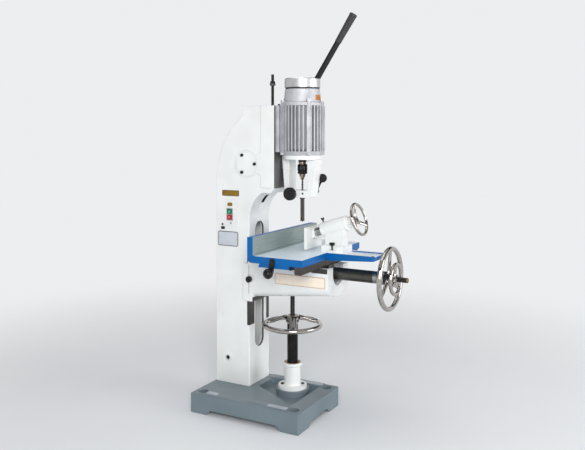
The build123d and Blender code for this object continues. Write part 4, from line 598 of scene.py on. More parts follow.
GREY_ENAMEL = CastEnamel("grey_cast_enamel", "#748289", "#6b7980", 0.42, gleam=0.35)
WHITE_ENAMEL = CastEnamel("white_cast_enamel", "#f1f3f2", "#eaebe9", 0.3, edge=4.0)
COLUMN_ENAMEL = replace(WHITE_ENAMEL, name="white_enamel_with_ways", patches=WAYS_AND_SLOT_SHADE)
KNEE_ENAMEL = replace(WHITE_ENAMEL, name="white_enamel_with_grease", patches=KNEE_PAINTED_SHADE)
BLUE_ENAMEL = CastEnamel("blue_enamel_with_ground_top", "#0062a9", "#005a9e", 0.38, patches=TABLE_FACES,
                         gleam=0.25, coat=0.06)
GROUND_IRON = WorkedMetal("ground_iron", "#8b8b88", "#a9a9a5", 0.4, 1.0)
STEEL = WorkedMetal("turned_steel", "#93928e", "#b8b7b2", 0.3, 1.0, Marks.ROUND_Z)
TOOL_STEEL = WorkedMetal("hardened_tool_steel", "#413c38", "#6b645d", 0.3, 1.0, Marks.ALONG_Z)
JAW_STEEL = WorkedMetal("ground_jaw_steel", "#8a7c6f", "#a8998a", 0.22, 1.0, Marks.ROUND_Z)
GLOSS_BLACK = WorkedMetal("polished_black_steel", "#1c1c1d", "#2c2c2d", 0.2, 0.9, Marks.ROUND_Z, depth=0.006)
TUBE_STEEL = WorkedMetal("oiled_tube_steel", "#45443f", "#5f5e58", 0.32, 0.8, Marks.ROUND_Y)
RACK_STEEL = WorkedMetal("oiled_rack_steel", "#45413d", "#5d5852", 0.44, 0.6, Marks.ALONG_X)
BLACK_STEEL = WorkedMetal("blackened_steel", "#29292a", "#3b3b3c", 0.38, 0.8, Marks.ROUND_Z)
SPRING_STEEL = WorkedMetal("blued_spring_steel", "#2b303a", "#3f4654", 0.3, 1.0)
BRONZE = WorkedMetal("bearing_bronze", "#94693a", "#b98d4f", 0.34, 1.0, Marks.ROUND_Z)
CORE_IRON = WorkedMetal("laminated_core_iron", "#3f3f41", "#5a5a5c", 0.5, 0.9, Marks.ROUND_Z)
CHROME = Plating("chromium_plate", "#bdb7b2", "#a7a19b", 0.08, 1.0)
POLISHED = Plating("polished_sheet", "#d0cecf", "#c4c2c4", 0.38, 1.0, wave=60.0, swell=0.004)
SILVER = SilverCoat("silver_coated_aluminium", "#c6c7cb", "#b3b4b9", 0.55, 0.3)
FINNED_SILVER = replace(SILVER, name="silver_coat_with_dirt", fins=(91.0, 99.0, 1183.0, 1389.0))
PHENOLIC = Moulding("black_phenolic", "#161617", "#1f1e1f", 0.2, gleam=0.25)
RUBBER = Moulding("dark_grip_rubber", "#3a3a3c", "#2e2e30", 0.7, grain=1.6, depth=0.08)
PALE_PLASTIC = Moulding("pale_switch_plastic", "#f0f0ee", "#e8e9e7", 0.4)
# Grey of the bezel round the buttons: painted shade
GREY_BEZEL_SHADE = Moulding("grey_bezel_plastic", "#a9acae", "#9a9d9f", 0.45)
BLACK_PLASTIC = Moulding("black_fitting_plastic", "#1a1a1b", "#222223", 0.45)
GREEN_PLASTIC = Moulding("green_button_plastic", "#14745a", "#10654e", 0.25)
RED_PLASTIC = Moulding("red_button_plastic", "#b51f34", "#a01a2c", 0.25)
# Paler button colours for the lenses: painted highlights on the buttons
GREEN_HIGHLIGHT_LENS = Moulding("green_lens_plastic", "#4fbf98", "#43b08a", 0.2)
RED_HIGHLIGHT_LENS = Moulding("red_lens_plastic", "#ec6472", "#e05665", 0.2)
BRASS = WorkedMetal("dull_brass", "#75643d", "#8c7a52", 0.45, 0.8, Marks.ROUND_Y)
ORANGE_PLATE = WorkedMetal("orange_brass_plate", "#b0662a", "#c47d36", 0.4, 0.4, Marks.ALONG_X)
GOLD_PLATE = WorkedMetal("gold_anodised_plate", "#86691c", "#a07d2a", 0.42, 0.5, Marks.ALONG_Y)
GOLD_RIM = WorkedMetal("browned_plate_rim", "#4f3d10", "#5f4a15", 0.45, 0.5, Marks.ALONG_Y)
GREY_PLATE = WorkedMetal("etched_aluminium_plate", "#c3c9d1", "#d3d8df", 0.45, 0.2, Marks.ALONG_Y)
GREY_RIM = WorkedMetal("grey_plate_rim", "#65696f", "#777b81", 0.45, 0.3, Marks.ALONG_Y)
CREAM_PLATE = Moulding("cream_enamel_plate", "#fbeedd", "#f7e7d2", 0.4)
CREAM_RIM = Moulding("tan_plate_rim", "#c9a078", "#b98f66", 0.4)
# Paler grey for the base's raised pads: painted highlight
PAD_PAINTED_HIGHLIGHT = CastEnamel("pale_pad_enamel", "#b4bbc4", "#a6adb6", 0.4)
PAPER = StudioPaper("studio_paper", "#eceef0", "#e8eaed", 0.9)


class Form:
    """A mesh in the making: closed rings of points in millimetres, joined into skins.

    Edges sharper than crease, in degrees, stay sharp.
    """

    crease: ClassVar[float] = 38.0
    corner_steps: ClassVar[int] = 6

    def __init__(self, place: Matrix) -> None:
        """Start an empty form.

        Args:
            place: where the rings that come next stand.
        """
        self.place = place
        self.points: list[Vector] = []
        self.faces: list[tuple[int, ...]] = []
        self.kinds: list[int] = []
        self.kind = 0

    def loft(self, rings: Sequence[Sequence[Point]], loop: bool = False) -> "Form":
        """Join rings of equal count, one after another.

        Args:
            rings: the rings, each wound the same way.
            loop: join the last ring to the first; otherwise both ends are closed.

        Returns:
            The form itself.
        """
        start, size, count = len(self.points), len(rings[0]), len(rings)
        for ring in rings:
            self.points.extend(self.place @ Vector(p) for p in ring)
        made: list[tuple[int, ...]] = []
        for i in range(count if loop else count - 1):
            a, b = start + i * size, start + (i + 1) % count * size
            made += [(a + j, a + (j + 1) % size, b + (j + 1) % size, b + j) for j in range(size)]
        if not loop:
            made.append(tuple(start + j for j in reversed(range(size))))
            made.append(tuple(start + (count - 1) * size + j for j in range(size)))
        self.faces += made
        self.kinds += [self.kind] * len(made)
        return self

    def lathe(self, profile: Profile, turns: int, loop: bool = False, shape: Optional[Shape] = None) -> "Form":
        """Turn a profile about the form's own Z.

        Args:
            profile: (radius, height) points.
            turns: points round each ring.
            loop: the profile closes on itself, as for a bored piece.
            shape: gives a new radius for a radius, a height and an angle.

        Returns:
            The form itself.
        """
        rings = []
        for radius, height in profile:
            ring = []
            for step in range(turns):
                angle = 2 * math.pi * step / turns
                far = shape(radius, height, angle) if shape else radius
                ring.append((far * math.cos(angle), far * math.sin(angle), height))
            rings.append(ring)
        return self.loft(rings, loop)

    def slab(self, width: float, height: float, corner: float, levels: Sequence[Pair],
             loop: bool = False) -> "Form":
        """Stack rounded rectangles about the form's own Z.

        Args:
            width: the rectangle's size along X.
            height: its size along Y.
            corner: its corners' radius.
            levels: (height, inset) pairs.
            loop: the stack closes on itself, as for a frame.

        Returns:
            The form itself.
        """
        rings = []
        for level, inset in levels:
            turn = max(corner - inset, 0.1)
            outline = rounded(width - 2 * inset, height - 2 * inset, turn, self.corner_steps)
            rings.append([(x, y, level) for x, y in outline])
        return self.loft(rings, loop)

    def piece(self, name: str, body: str, finishes: Sequence[Finish], slot: str,
              stands_for: Sequence[str] = ()) -> None:
        """Make the mesh object, dress it and let it ride on its body.

        Args:
            name: the piece's name.
            body: the body that it moves with.
            finishes: a finish for each kind of face.
            slot: the record's material slot; not used.
            stands_for: solids that it is shown instead of.
        """
        mesh = bpy.data.meshes.new(name)
        mesh.from_pydata(self.points, [], self.faces)
        mesh.polygons.foreach_set("material_index", self.kinds)
        shell = bmesh.new()
        shell.from_mesh(mesh)
        bmesh.ops.recalc_face_normals(shell, faces=shell.faces)
        shell.to_mesh(mesh)
        shell.free()
        mesh.shade_smooth()
        mesh.set_sharp_from_angle(angle=math.radians(self.crease))
        made = bpy.data.objects.new(name, mesh)
        bpy.context.scene.collection.objects.link(made)
        for finish in finishes:
            mesh.materials.append(finish.material())
        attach(made, body)
        if stands_for:
            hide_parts(*stands_for)
        LOG.info("%s rides on %s", name, body)


def rounded(width: float, height: float, corner: float, steps: int) -> list[Pair]:
    """Draw a rounded rectangle about the origin.

    Args:
        width: its size along x.
        height: its size along y.
        corner: the corners' radius.
        steps: points in each corner.

    Returns:
        Its points, anticlockwise.
    """
    outline = []
    for quarter, (sx, sy) in enumerate(((1, 1), (-1, 1), (-1, -1), (1, -1))):
        for step in range(steps + 1):
            angle = math.pi / 2 * (quarter + step / steps)
            x = sx * (width / 2 - corner) + corner * math.cos(angle)
            outline.append((x, sy * (height / 2 - corner) + corner * math.sin(angle)))
    return outline


def arc(radius: float, start: float, end: float, steps: int) -> list[Pair]:
    """Draw a ball's profile about the origin as (radius, height) points, between angles above its equator."""
    angles = [math.radians(start + (end - start) * i / steps) for i in range(steps + 1)]
    return [(radius * math.cos(a), radius * math.sin(a)) for a in angles]


def hexagon(radius: float) -> Shape:
    """Shape rings up to a radius as hexagons and leave the others round.

    Args:
        radius: the largest ring that becomes a hexagon.

    Returns:
        A shape for Form.lathe.
    """
    def far(ring: float, height: float, angle: float) -> float:
        """Give the radius of the hexagon at an angle."""
        corner = math.cos(angle % (math.pi / 3) - math.pi / 6)
        return ring if ring > radius + TINY else ring * math.cos(math.pi / 6) / corner
    return far


def fluted(radius: float, count: int, depth: float) -> Shape:
    """Shape the widest rings with flutes.

    Args:
        radius: rings from this radius up are fluted.
        count: how many flutes there are.
        depth: how deep they are.

    Returns:
        A shape for Form.lathe.
    """
    def far(ring: float, height: float, angle: float) -> float:
        """Give the radius on the flutes at an angle."""
        wave = depth * (0.5 - 0.5 * math.cos(count * angle)) ** 2
        return ring if ring < radius - TINY else ring - wave
    return far


def threaded(place: Matrix, radius: float, low: float, high: float, depth: float, pitch: float) -> Form:
    """Model a threaded rod with bevelled ends.

    Args:
        place: where it stands.
        radius: the crest's radius.
        low: its lower end.
        high: its upper end.
        depth: the thread's depth.
        pitch: the thread's pitch.

    Returns:
        The form.
    """
    def far(ring: float, height: float, angle: float) -> float:
        """Give the radius on the thread at a height and an angle."""
        along = (height / pitch - angle / (2 * math.pi)) % 1.0
        return ring - depth * min(1.0, max(0.0, THREAD_FLANK * abs(along - 0.5) - THREAD_CREST))

    steps = max(2, round((high - low - 2 * depth) / pitch * THREAD_STEPS))
    rise = (high - low - 2 * depth) / steps
    profile = [(radius - depth, low)]
    profile += [(radius, low + depth + rise * i) for i in range(steps + 1)]
    profile.append((radius - depth, high))
    return Form(place).lathe(profile, turns=28, shape=far)


def cap_screw(form: Form, head: float, rise: float) -> None:
    """Add a socket cap screw's head, standing on the form's own XY plane.

    Args:
        form: the form that it joins.
        head: the head's diameter.
        rise: the head's height.
    """
    radius, socket, bevel = head / 2, head * SOCKET_SHARE, head * BEVEL_SHARE
    form.lathe([(radius, -SUNK), (radius, rise - bevel), (radius - bevel, rise), (socket + bevel, rise),
                (socket, rise - bevel / 2), (socket, rise * SOCKET_FLOOR)], turns=36, shape=hexagon(socket))


class Part:
    """A sub-assembly: coats lists each finish with the solids that wear it."""

    coats: ClassVar[tuple[tuple, ...]] = ()

    def dress(self) -> None:
        """Give its solids their finishes."""
        for finish, *nodes in self.coats:
            for name in nodes:
                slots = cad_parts[name].data.materials
                slots.clear()
                slots.append(finish.material())
                LOG.info("%s is %s", name, finish.name)

    def build(self) -> None:
        """Build its own pieces."""
        raise NotImplementedError


@dataclass
class Handwheel:
    """A plated handwheel with a round rim, oval spokes and a turned hub; sizes in millimetres."""

    name: str
    body: str
    node: str
    origin: Vector
    axis: Triple
    diameter: float
    rim: float
    hub: float
    hub_low: float
    hub_length: float
    bore: float
    dish: float
    spoke: float
    hub_finish: Finish = CHROME
    arms: int = 3
    rim_steps: int = 24
    hub_parts: int = 9
    steps: int = 16
    sides: int = 24
    flare: float = 0.3
    flare_share: float = 0.25
    wide: Pair = (0.56, 0.18)
    thick: Pair = (0.32, 0.07)
    thickest: float = 0.47

    def build(self) -> None:
        """Build the wheel as one piece."""
        form = Form(stand(self.origin, self.axis))
        centre, rim = (self.diameter - self.rim) / 2, self.rim / 2
        ring = arc(rim, 0, 360 - 360 / self.rim_steps, self.rim_steps - 1)
        form.lathe([(centre + r, h) for r, h in ring], turns=128, loop=True)
        radius, low, high = self.hub / 2, self.hub_low, self.hub_low + self.hub_length
        bevel = self.hub_length / self.hub_parts
        form.kind = 1
        form.lathe([(self.bore, low), (radius - bevel, low), (radius, low + bevel), (radius, high - bevel),
                    (radius - bevel, high), (self.bore + 1, high), (self.bore, high - 1)], turns=64, loop=True)
        form.kind = 0
        for arm in range(self.arms):
            self.arm(form, math.pi / 2 + arm * 2 * math.pi / self.arms, centre)
        form.piece(self.name, self.body, [CHROME, self.hub_finish], "chrome", [self.node])

    def arm(self, form: Form, angle: float, outer: float) -> None:
        """Add one spoke, which bends from the hub to the rim and flares into both.

        Args:
            form: the wheel's form.
            angle: where the spoke stands.
            outer: the rim's radius.
        """
        along = Vector((math.cos(angle), math.sin(angle), 0))
        sideways = Vector((-math.sin(angle), math.cos(angle), 0))
        inner = (self.bore + self.hub / 2) / 2
        middle = self.hub_low + self.hub_length / 2 + self.dish / 4
        rings = []
        for step in range(self.steps + 1):
            part = step / self.steps
            ease = part * part * (3 - 2 * part)
            centre = along * (inner + (outer - inner) * part) + Vector((0, 0, middle * (1 - ease)))
            ends = (1 - part / self.flare_share, (part - 1 + self.flare_share) / self.flare_share)
            flare = 1 + self.flare * max(0.0, ends[0]) ** 2 + self.flare * max(0.0, ends[1]) ** 2
            wide = self.spoke * (self.wide[0] - self.wide[1] * part) * flare
            thick = min(self.spoke * (self.thick[0] - self.thick[1] * part) * flare, self.rim * self.thickest)
            turns = [2 * math.pi * turn / self.sides for turn in range(self.sides)]
            rings.append([centre + sideways * wide * math.cos(t) + Vector((0, 0, thick * math.sin(t)))
                          for t in turns])
        form.loft(rings)


@dataclass
class Plate:
    """A blank plate on a casting, with a border and a rivet at each end; sizes in millimetres."""

    name: str
    body: str
    origin: Vector
    facing: Triple
    width: float
    height: float
    rim: Finish
    face: Finish
    slot: str
    border: float = 1.6
    corner: float = 3.0
    thick: float = 1.4
    rivet: float = 3.2
    sunk: float = 0.4
    proud: float = 0.3

    def build(self) -> None:
        """Build the plate, its raised face and its rivets."""
        across = Vector(UP).cross(Vector(self.facing))
        form = Form(stand(self.origin, self.facing, across))
        size = (self.width, self.height, self.corner)
        form.slab(*size, [(-self.sunk, 0.0), (self.thick - 0.4, 0.0), (self.thick, 0.4)])
        form.kind = 1
        form.slab(*size, [(self.thick - 0.5, self.border), (self.thick + 0.2, self.border),
                          (self.thick + self.proud, self.border + 0.2)])
        form.kind = 0
        place = form.place
        for side in (-1, 1):
            inset = side * (self.width / 2 - self.border - self.rivet)
            form.place = place @ Matrix.Translation((inset, 0, self.thick))
            form.lathe([(self.rivet / 2 * r, h) for r, h in arc(1.0, 0, 80, 5)], turns=16)
        form.piece(self.name, self.body, [self.rim, self.face], self.slot)


@dataclass
class Knob:
    """A fluted black knob on a plain stem; sizes in millimetres along its axis.

    Each point of under and over has a share of the radius, the edges taken off it, and the edges above the
    lower end or below the upper one.
    """

    name: str
    body: str
    node: str
    origin: Vector
    axis: Triple
    diameter: float
    low: float
    high: float
    stem: float
    stem_low: float
    flutes: int
    depth: float
    edge: float

    under: ClassVar[Sequence[Triple]] = ((0.5, 0.0, 0.0), (1.0, 1.0, 0.6), (1.0, 0.0, 1.6))
    over: ClassVar[Sequence[Triple]] = (
        (1.0, 0.0, 1.0), (1.0, 0.3, 0.3), (1.0, 1.0, 0.0), (1.0, 1.6, 0.0), (1.0, 2.2, 0.3), (0.3, 0.0, 0.4),
        (0.22, 0.0, 0.0), (0.1, 0.0, 0.0))

    def build(self) -> None:
        """Build the stem and the knob with its dished face."""
        form = Form(stand(self.origin, self.axis))
        form.kind = 1
        form.lathe([(self.stem / 2, self.stem_low), (self.stem / 2, self.low + self.edge)], turns=32)
        form.kind = 0
        radius, edge = self.diameter / 2, self.edge
        profile = [(radius * share - edge * cut, self.low + edge * up) for share, cut, up in self.under]
        profile += [(radius * share - edge * cut, self.high - edge * down) for share, cut, down in self.over]
        form.lathe(profile, self.flutes * 8, shape=fluted(radius, self.flutes, self.depth))
        form.piece(self.name, self.body, [PHENOLIC, BLACK_STEEL], "black_plastic", [self.node])


@dataclass
class Column(Part):
    """The white column with its spring housing, blank plates and cable gland."""

    side: float = -90.5
    name_plate: tuple[float, ...] = (-104.0, 981.5, 94.0, 27.0, 2.6, 3.0)
    data_plate: tuple[float, ...] = (-118.0, 766.0, 114.0, 70.0, 4.0, 10.0)
    socket: Quad = (-147.0, 816.0, 21.0, 13.0)
    socket_levels: Profile = ((-0.4, 0.0), (2.0, 0.0), (2.6, 0.6), (2.6, 2.0), (1.2, 2.4))
    plug: Triple = (-149.0, 833.0, 10.0)
    plug_rise: float = 3.0
    gland: Pair = (-112.0, 209.0)
    gland_collar: Profile = ((15.6, 0.0), (17.0, 0.0), (16.6, 6.4), (15.6, 8.2), (13.4, 9.5), (9.0, 9.7), (8.6, 9.1),
                             (12.6, 9.1), (15.6, 6.2))
    base_top: float = 87.0
    strip_levels: Pair = (-0.4, 3.0)
    pad_levels: Pair = (2.6, 4.6)
    strips: tuple[tuple[float, ...], ...] = ((-259.0, -124.0, 297.0, 50.0, 5.0), (85.0, 12.0, 297.0, 44.0, 5.0))
    # Raised pads, paler than the base as a painted highlight
    pads: tuple[tuple[float, ...], ...] = ((-256.0, -121.0, -62.0, 27.0, 9.0), (-256.0, 198.0, 294.0, 27.0, 9.0),
                                           (85.0, 198.0, 294.0, 27.0, 9.0))

    coats = ((COLUMN_ENAMEL, "column"), (WHITE_ENAMEL, "spring_housing"), (GREY_ENAMEL, "base"),
             (BLACK_STEEL.along(Marks.ROUND_X), "housing_screws"), (BRONZE.along(Marks.ROUND_X), "shaft_bushes"),
             (SPRING_STEEL, "return_spring"), (BLACK_PLASTIC, "cable_gland"))

    def build(self) -> None:
        """Add the plates and the small fittings on the left side."""
        for name, sizes, rim, face in (("name_plate", self.name_plate, GOLD_RIM, GOLD_PLATE),
                                       ("data_plate", self.data_plate, GREY_RIM, GREY_PLATE)):
            reach, height, width, tall, border, corner = sizes
            Plate(name, "frame", at(self.side, reach, height), LEFT, width, tall, rim, face, "polished",
                  border, corner).build()
        reach, height, width, tall = self.socket
        form = Form(stand(at(self.side, reach, height), LEFT, FRONT))
        form.slab(width, tall, corner=2.0, levels=self.socket_levels)
        reach, height, across = self.plug
        form.place = stand(at(self.side, reach, height), LEFT)
        cap_screw(form, across, self.plug_rise)
        form.piece("side_fittings", "frame", [BLACK_PLASTIC], "black_plastic")
        self.border()
        form = Form(stand(at(self.side, *self.gland), LEFT))
        form.lathe(self.gland_collar, turns=48, loop=True)
        form.piece("gland_collar", "frame", [WHITE_ENAMEL], "white_paint")

    def border(self) -> None:
        """Lay the raised border strips on the base, with pads whose paler tone is a painted highlight."""
        form = Form(stand(at(0, 0, self.base_top), UP, FRONT))
        rows = ((self.strips, self.strip_levels), (self.pads, self.pad_levels))
        for kind, (strips, (low, high)) in enumerate(rows):
            form.kind = kind
            for offset, start, end, width, corner in strips:
                form.place = stand(at(offset, (start + end) / 2, self.base_top), UP, FRONT)
                levels = [(low, 0.0), (high - 1.0, 0.0), (high - 0.3, 0.3), (high, 1.0)]
                form.slab(end - start, width, corner, levels)
        form.piece("base_border", "frame", [GREY_ENAMEL, PAD_PAINTED_HIGHLIGHT], "grey_paint")


@dataclass
class SwitchStation(Part):
    """The push-button plate with its bezel, label, screw and the buttons' lenses, whose pale tones are painted
    highlights.
    """

    face: float = -95.5
    button_face: float = -102.5
    reach: float = -105.0
    pair_height: float = 882.0
    button_step: float = 26.5
    label_height: float = 929.0
    label: Pair = (27.0, 16.0)
    screw_height: float = 841.0
    screw_shift: float = 6.0
    bezel: Triple = (35.0, 58.5, 4.0)
    bezel_levels: Profile = ((-0.2, 0.0), (2.4, 0.0), (3.2, 0.8), (3.2, 2.6), (2.4, 3.4), (-0.2, 3.4))
    lens: Profile = ((5.6, -0.3), (5.6, 0.5), (5.0, 1.1), (3.2, 1.6), (1.0, 1.8))

    coats = ((PALE_PLASTIC, "switch_box"), (GREEN_PLASTIC, "start_button"), (RED_PLASTIC, "stop_button"))

    def build(self) -> None:
        """Add the bezel round the buttons, the blank label, the screw and a pale lens on each button as a painted
        highlight.
        """
        Plate("switch_label", "frame", at(self.face, self.reach, self.label_height), LEFT, *self.label,
              GOLD_RIM, GOLD_PLATE, "polished", border=1.4, thick=0.9, rivet=1.6).build()
        # The bezel, whose grey is painted shade round the buttons
        form = Form(stand(at(self.face, self.reach, self.pair_height), LEFT, FRONT))
        form.slab(*self.bezel, self.bezel_levels, loop=True)
        form.kind = 1
        form.place = stand(at(self.face, self.reach + self.screw_shift, self.screw_height), LEFT)
        cap_screw(form, head=6.5, rise=1.8)
        form.piece("switch_bezel", "frame", [GREY_BEZEL_SHADE, BLACK_STEEL], "switch_plastic")
        for body, side, finish, slot in (("start", 1, GREEN_HIGHLIGHT_LENS, "green_plastic"),
                                         ("stop", -1, RED_HIGHLIGHT_LENS, "red_plastic")):
            height = self.pair_height + side * self.button_step / 2
            form = Form(stand(at(self.button_face, self.reach, height), LEFT))
            form.lathe(self.lens, turns=32)
            form.piece(body + "_lens", body, [finish], slot)


@dataclass
class FeedLever(Part):
    """The lever with its hub, its black tube and its ribbed grip."""

    offset: float = 119.9
    setback: float = 13.0
    height: float = 1122.0
    lean: float = 57.0
    grip_start: float = 677.0
    length: float = 827.0
    neck_radius: float = 15.5
    end_radius: float = 18.5
    ribs: int = 11
    rib_steps: int = 6
    rib_depth: float = 0.55
    plain_start: float = 8.0
    plain_end: float = 10.0
    neck_bevel: float = 1.5
    round_end: Profile = ((0.0, 6.0), (1.2, 2.4), (4.0, 0.0))

    coats = ((BLACK_STEEL.along(Marks.ROUND_X), "lever_hub"), (BLACK_STEEL.along(Marks.ALONG_Z), "feed_lever"),
             (STEEL.along(Marks.ROUND_X), "feed_shaft", "feed_pinion"))

    def build(self) -> None:
        """Build the grip: a tapered sleeve with finger ribs and a rounded end."""
        lean = math.radians(self.lean)
        origin = at(self.offset, -self.setback, self.height)
        form = Form(stand(origin, (0.0, -math.cos(lean), math.sin(lean))))
        start, end = self.grip_start, self.length
        profile = [(self.neck_radius - self.neck_bevel, start), (self.neck_radius, start + self.neck_bevel)]
        steps = self.ribs * self.rib_steps
        ribbed = end - start - self.plain_start - self.plain_end
        for step in range(steps + 1):
            part = step / steps
            wave = self.rib_depth * math.cos(2 * math.pi * self.ribs * part)
            radius = self.neck_radius + (self.end_radius - self.neck_radius) * part
            profile.append((radius - self.rib_depth + wave, start + self.plain_start + ribbed * part))
        profile += [(self.end_radius - cut, end - back) for cut, back in self.round_end]
        form.lathe(profile, turns=48)
        form.piece("grip_sleeve", "lever", [RUBBER], "grip_rubber", ["lever_grip"])


@dataclass
class MotorHead(Part):
    """The sliding head: slide, depth rod, finned motor, cowl and yoke."""

    reach: float = SPINDLE_REACH
    cowl_top: float = 1516.0
    bell_low: float = 1399.0
    bell_high: float = 1468.0
    bell_base: float = 86.0
    bell_top: float = 81.0
    label_middle: float = 1427.0
    label_height: float = 24.0
    label_width: float = 50.0
    label_proud: Pair = (-0.5, 0.9)
    label_steps: int = 16
    yoke_side: float = -33.0
    set_screw: Pair = (250.0, 989.0)
    slide_screw: Pair = (66.0, 145.0)
    lug_circle: float = 94.0
    lug_low: float = 1164.0
    rod_radius: float = 7.0
    rod_thread: Pair = (0.9, 3.0)
    washer: Profile = ((11.0, -0.3), (11.0, 1.4), (10.4, 1.8))
    bolt: Profile = ((7.5, 1.5), (7.5, 6.6), (6.4, 7.4))
    seal: Profile = ((72.2, 0.0), (78.4, 0.0), (79.0, 0.6), (79.0, 5.2), (78.4, 5.8), (72.2, 5.8))
    lug: Profile = ((11.0, 0.2), (12.4, 1.6), (13.0, 4.0), (13.0, 10.0), (12.4, 12.4), (10.5, 14.4), (9.0, 15.0))

    coats = ((FINNED_SILVER, "motor_frame"), (SILVER, "motor_end_bell", "head_slide", "cooling_fan"),
             (POLISHED, "fan_cowl", "tie_bolts"), (STEEL, "motor_bearings", "motor_shaft", "chisel_bush"),
             (TOOL_STEEL, "chisel"), (STEEL.along(Marks.ALONG_Z), "head_rack"), (CORE_IRON, "stator", "rotor"),
             (BLACK_STEEL, "stop_nuts"), (JAW_STEEL, "chuck_body"), (WHITE_ENAMEL, "yoke"), (PHENOLIC, "yoke_lever"))

    def build(self) -> None:
        """Add the depth rod's thread, the bell's label, the cowl's bolt and the small screws."""
        low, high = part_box("depth_rod")
        place = stand(((low.x + high.x) / 2, (low.y + high.y) / 2, 0.0))
        rod = threaded(place, self.rod_radius, low.z / MM, high.z / MM, *self.rod_thread)
        rod.piece("depth_rod_thread", "head", [BLACK_STEEL], "dark_steel", ["depth_rod"])
        self.label()
        form = Form(stand(at(0, self.reach, self.cowl_top)))
        form.lathe(self.washer, turns=32)
        form.lathe(self.bolt, turns=36, shape=hexagon(self.bolt[0][0]))
        form.piece("cowl_bolt", "head", [STEEL], "steel")
        form = Form(stand(at(0, self.reach, self.bell_high)))
        form.lathe(self.seal, turns=96, loop=True)
        form.piece("cowl_seal", "head", [BLACK_PLASTIC], "black_plastic")
        self.lug_collars()
        form = Form(stand(at(self.yoke_side, *self.set_screw), LEFT))
        cap_screw(form, head=9.0, rise=0.8)
        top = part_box("head_slide")[1].z / MM
        for side in (-1, 1):
            form.place = stand(at(side * self.slide_screw[0], self.slide_screw[1], top))
            cap_screw(form, head=11.0, rise=7.0)
        form.piece("head_screws", "head", [BLACK_STEEL], "dark_steel")

    def lug_collars(self) -> None:
        """Add a rounded collar round the foot of each tie-bolt lug."""
        form = Form(stand(at(0, self.reach, 0.0)))
        for step in range(4):
            angle = math.pi / 4 + math.pi / 2 * step
            far = self.lug_circle
            form.place = stand(at(far * math.cos(angle), self.reach - far * math.sin(angle), self.lug_low))
            form.lathe(self.lug, turns=40)
        form.piece("lug_collars", "head", [SILVER], "motor_silver")

    def label(self) -> None:
        """Bend the blank label round the front of the end bell."""
        form = Form(stand(at(0, self.reach, 0.0), UP, FRONT))
        low, high = self.label_middle - self.label_height / 2, self.label_middle + self.label_height / 2
        slope = (self.bell_top - self.bell_base) / (self.bell_high - self.bell_low)
        back, face = self.label_proud
        rings = []
        for step in range(self.label_steps + 1):
            angle = (step / self.label_steps - 0.5) * self.label_width / self.bell_base
            ring = []
            for height, proud in ((low, back), (low, face), (high, face), (high, back)):
                far = self.bell_base + slope * (height - self.bell_low) + proud
                ring.append((far * math.cos(angle), far * math.sin(angle), height))
            rings.append(ring)
        form.loft(rings)
        form.piece("motor_label", "head", [ORANGE_PLATE], "polished")


@dataclass
class Spindle(Part):
    """The chuck's knurled sleeve and the fluted auger bit."""

    reach: float = SPINDLE_REACH
    sleeve_low: float = 1077.6
    sleeve_high: float = 1121.6
    sleeve_radius: float = 22.5
    sleeve_bore: float = 15.6
    sleeve_below: Profile = ((3.0, 0.0), (0.0, 3.0), (0.0, 9.0), (2.0, 10.5), (2.0, 13.0), (0.0, 14.5))
    sleeve_above: Profile = ((0.0, 3.0), (2.0, 0.0))
    bit_radius: float = 4.7
    bit_pitch: float = 24.0
    flute_length: float = 200.0
    flute_depth: float = 0.42
    tip: Profile = ((0.12, 0.0), (0.9, 5.0))
    tip_height: float = 6.0
    bit_steps: int = 150
    teeth: tuple[int, float] = (30, 1.5)
    teeth_end: float = 12.0
    knurl: tuple[int, float] = (60, 0.6)
    collar: Profile = ((17.1, 11.0), (18.6, 11.0), (19.4, 11.8), (19.4, 20.8), (18.6, 21.6), (17.1, 21.6))

    def build(self) -> None:
        """Build the sleeve, the bit and the black collar on the chuck's neck."""
        self.sleeve()
        self.bit()
        form = Form(stand(at(0, self.reach, self.sleeve_high)))
        form.lathe(self.collar, turns=64, loop=True)
        form.piece("chuck_collar", "spindle", [GLOSS_BLACK], "dark_steel")

    def sleeve(self) -> None:
        """Build the sleeve with key teeth below and a knurl above."""
        low, high, radius = self.sleeve_low, self.sleeve_high, self.sleeve_radius

        def cut(ring: float, height: float, angle: float) -> float:
            """Give the radius on the key teeth or on the knurl."""
            count, depth = self.teeth if height < low + self.teeth_end else self.knurl
            return ring if ring < radius - TINY else ring - depth * (0.5 - 0.5 * math.cos(count * angle))

        form = Form(stand(at(0, self.reach, 0.0)))
        profile = [(self.sleeve_bore, low)] + [(radius - cut_in, low + up) for cut_in, up in self.sleeve_below]
        profile += [(radius - cut_in, high - down) for cut_in, down in self.sleeve_above] + [(self.sleeve_bore, high)]
        form.lathe(profile, turns=240, loop=True, shape=cut)
        form.piece("knurled_sleeve", "spindle", [GLOSS_BLACK], "dark_steel", ["chuck_sleeve"])

    def bit(self) -> None:
        """Build the bit with two twisted flutes under a round shank."""
        low, high = (corner.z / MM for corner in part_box("auger_bit"))

        def twist(ring: float, height: float, angle: float) -> float:
            """Give the radius on the flutes at a height and an angle."""
            turn = angle - 2 * math.pi * height / self.bit_pitch
            return ring if height > low + self.flute_length else ring * (1 - self.flute_depth * math.sin(turn) ** 2)

        start, steps = low + self.tip_height, self.bit_steps
        profile = [(self.bit_radius * share, low + up) for share, up in self.tip]
        profile += [(self.bit_radius, start + (high - low - self.tip_height) * i / steps) for i in range(steps + 1)]
        form = Form(stand(at(0, self.reach, 0.0))).lathe(profile, turns=28, shape=twist)
        form.piece("fluted_bit", "spindle", [TOOL_STEEL], "steel", ["auger_bit"])


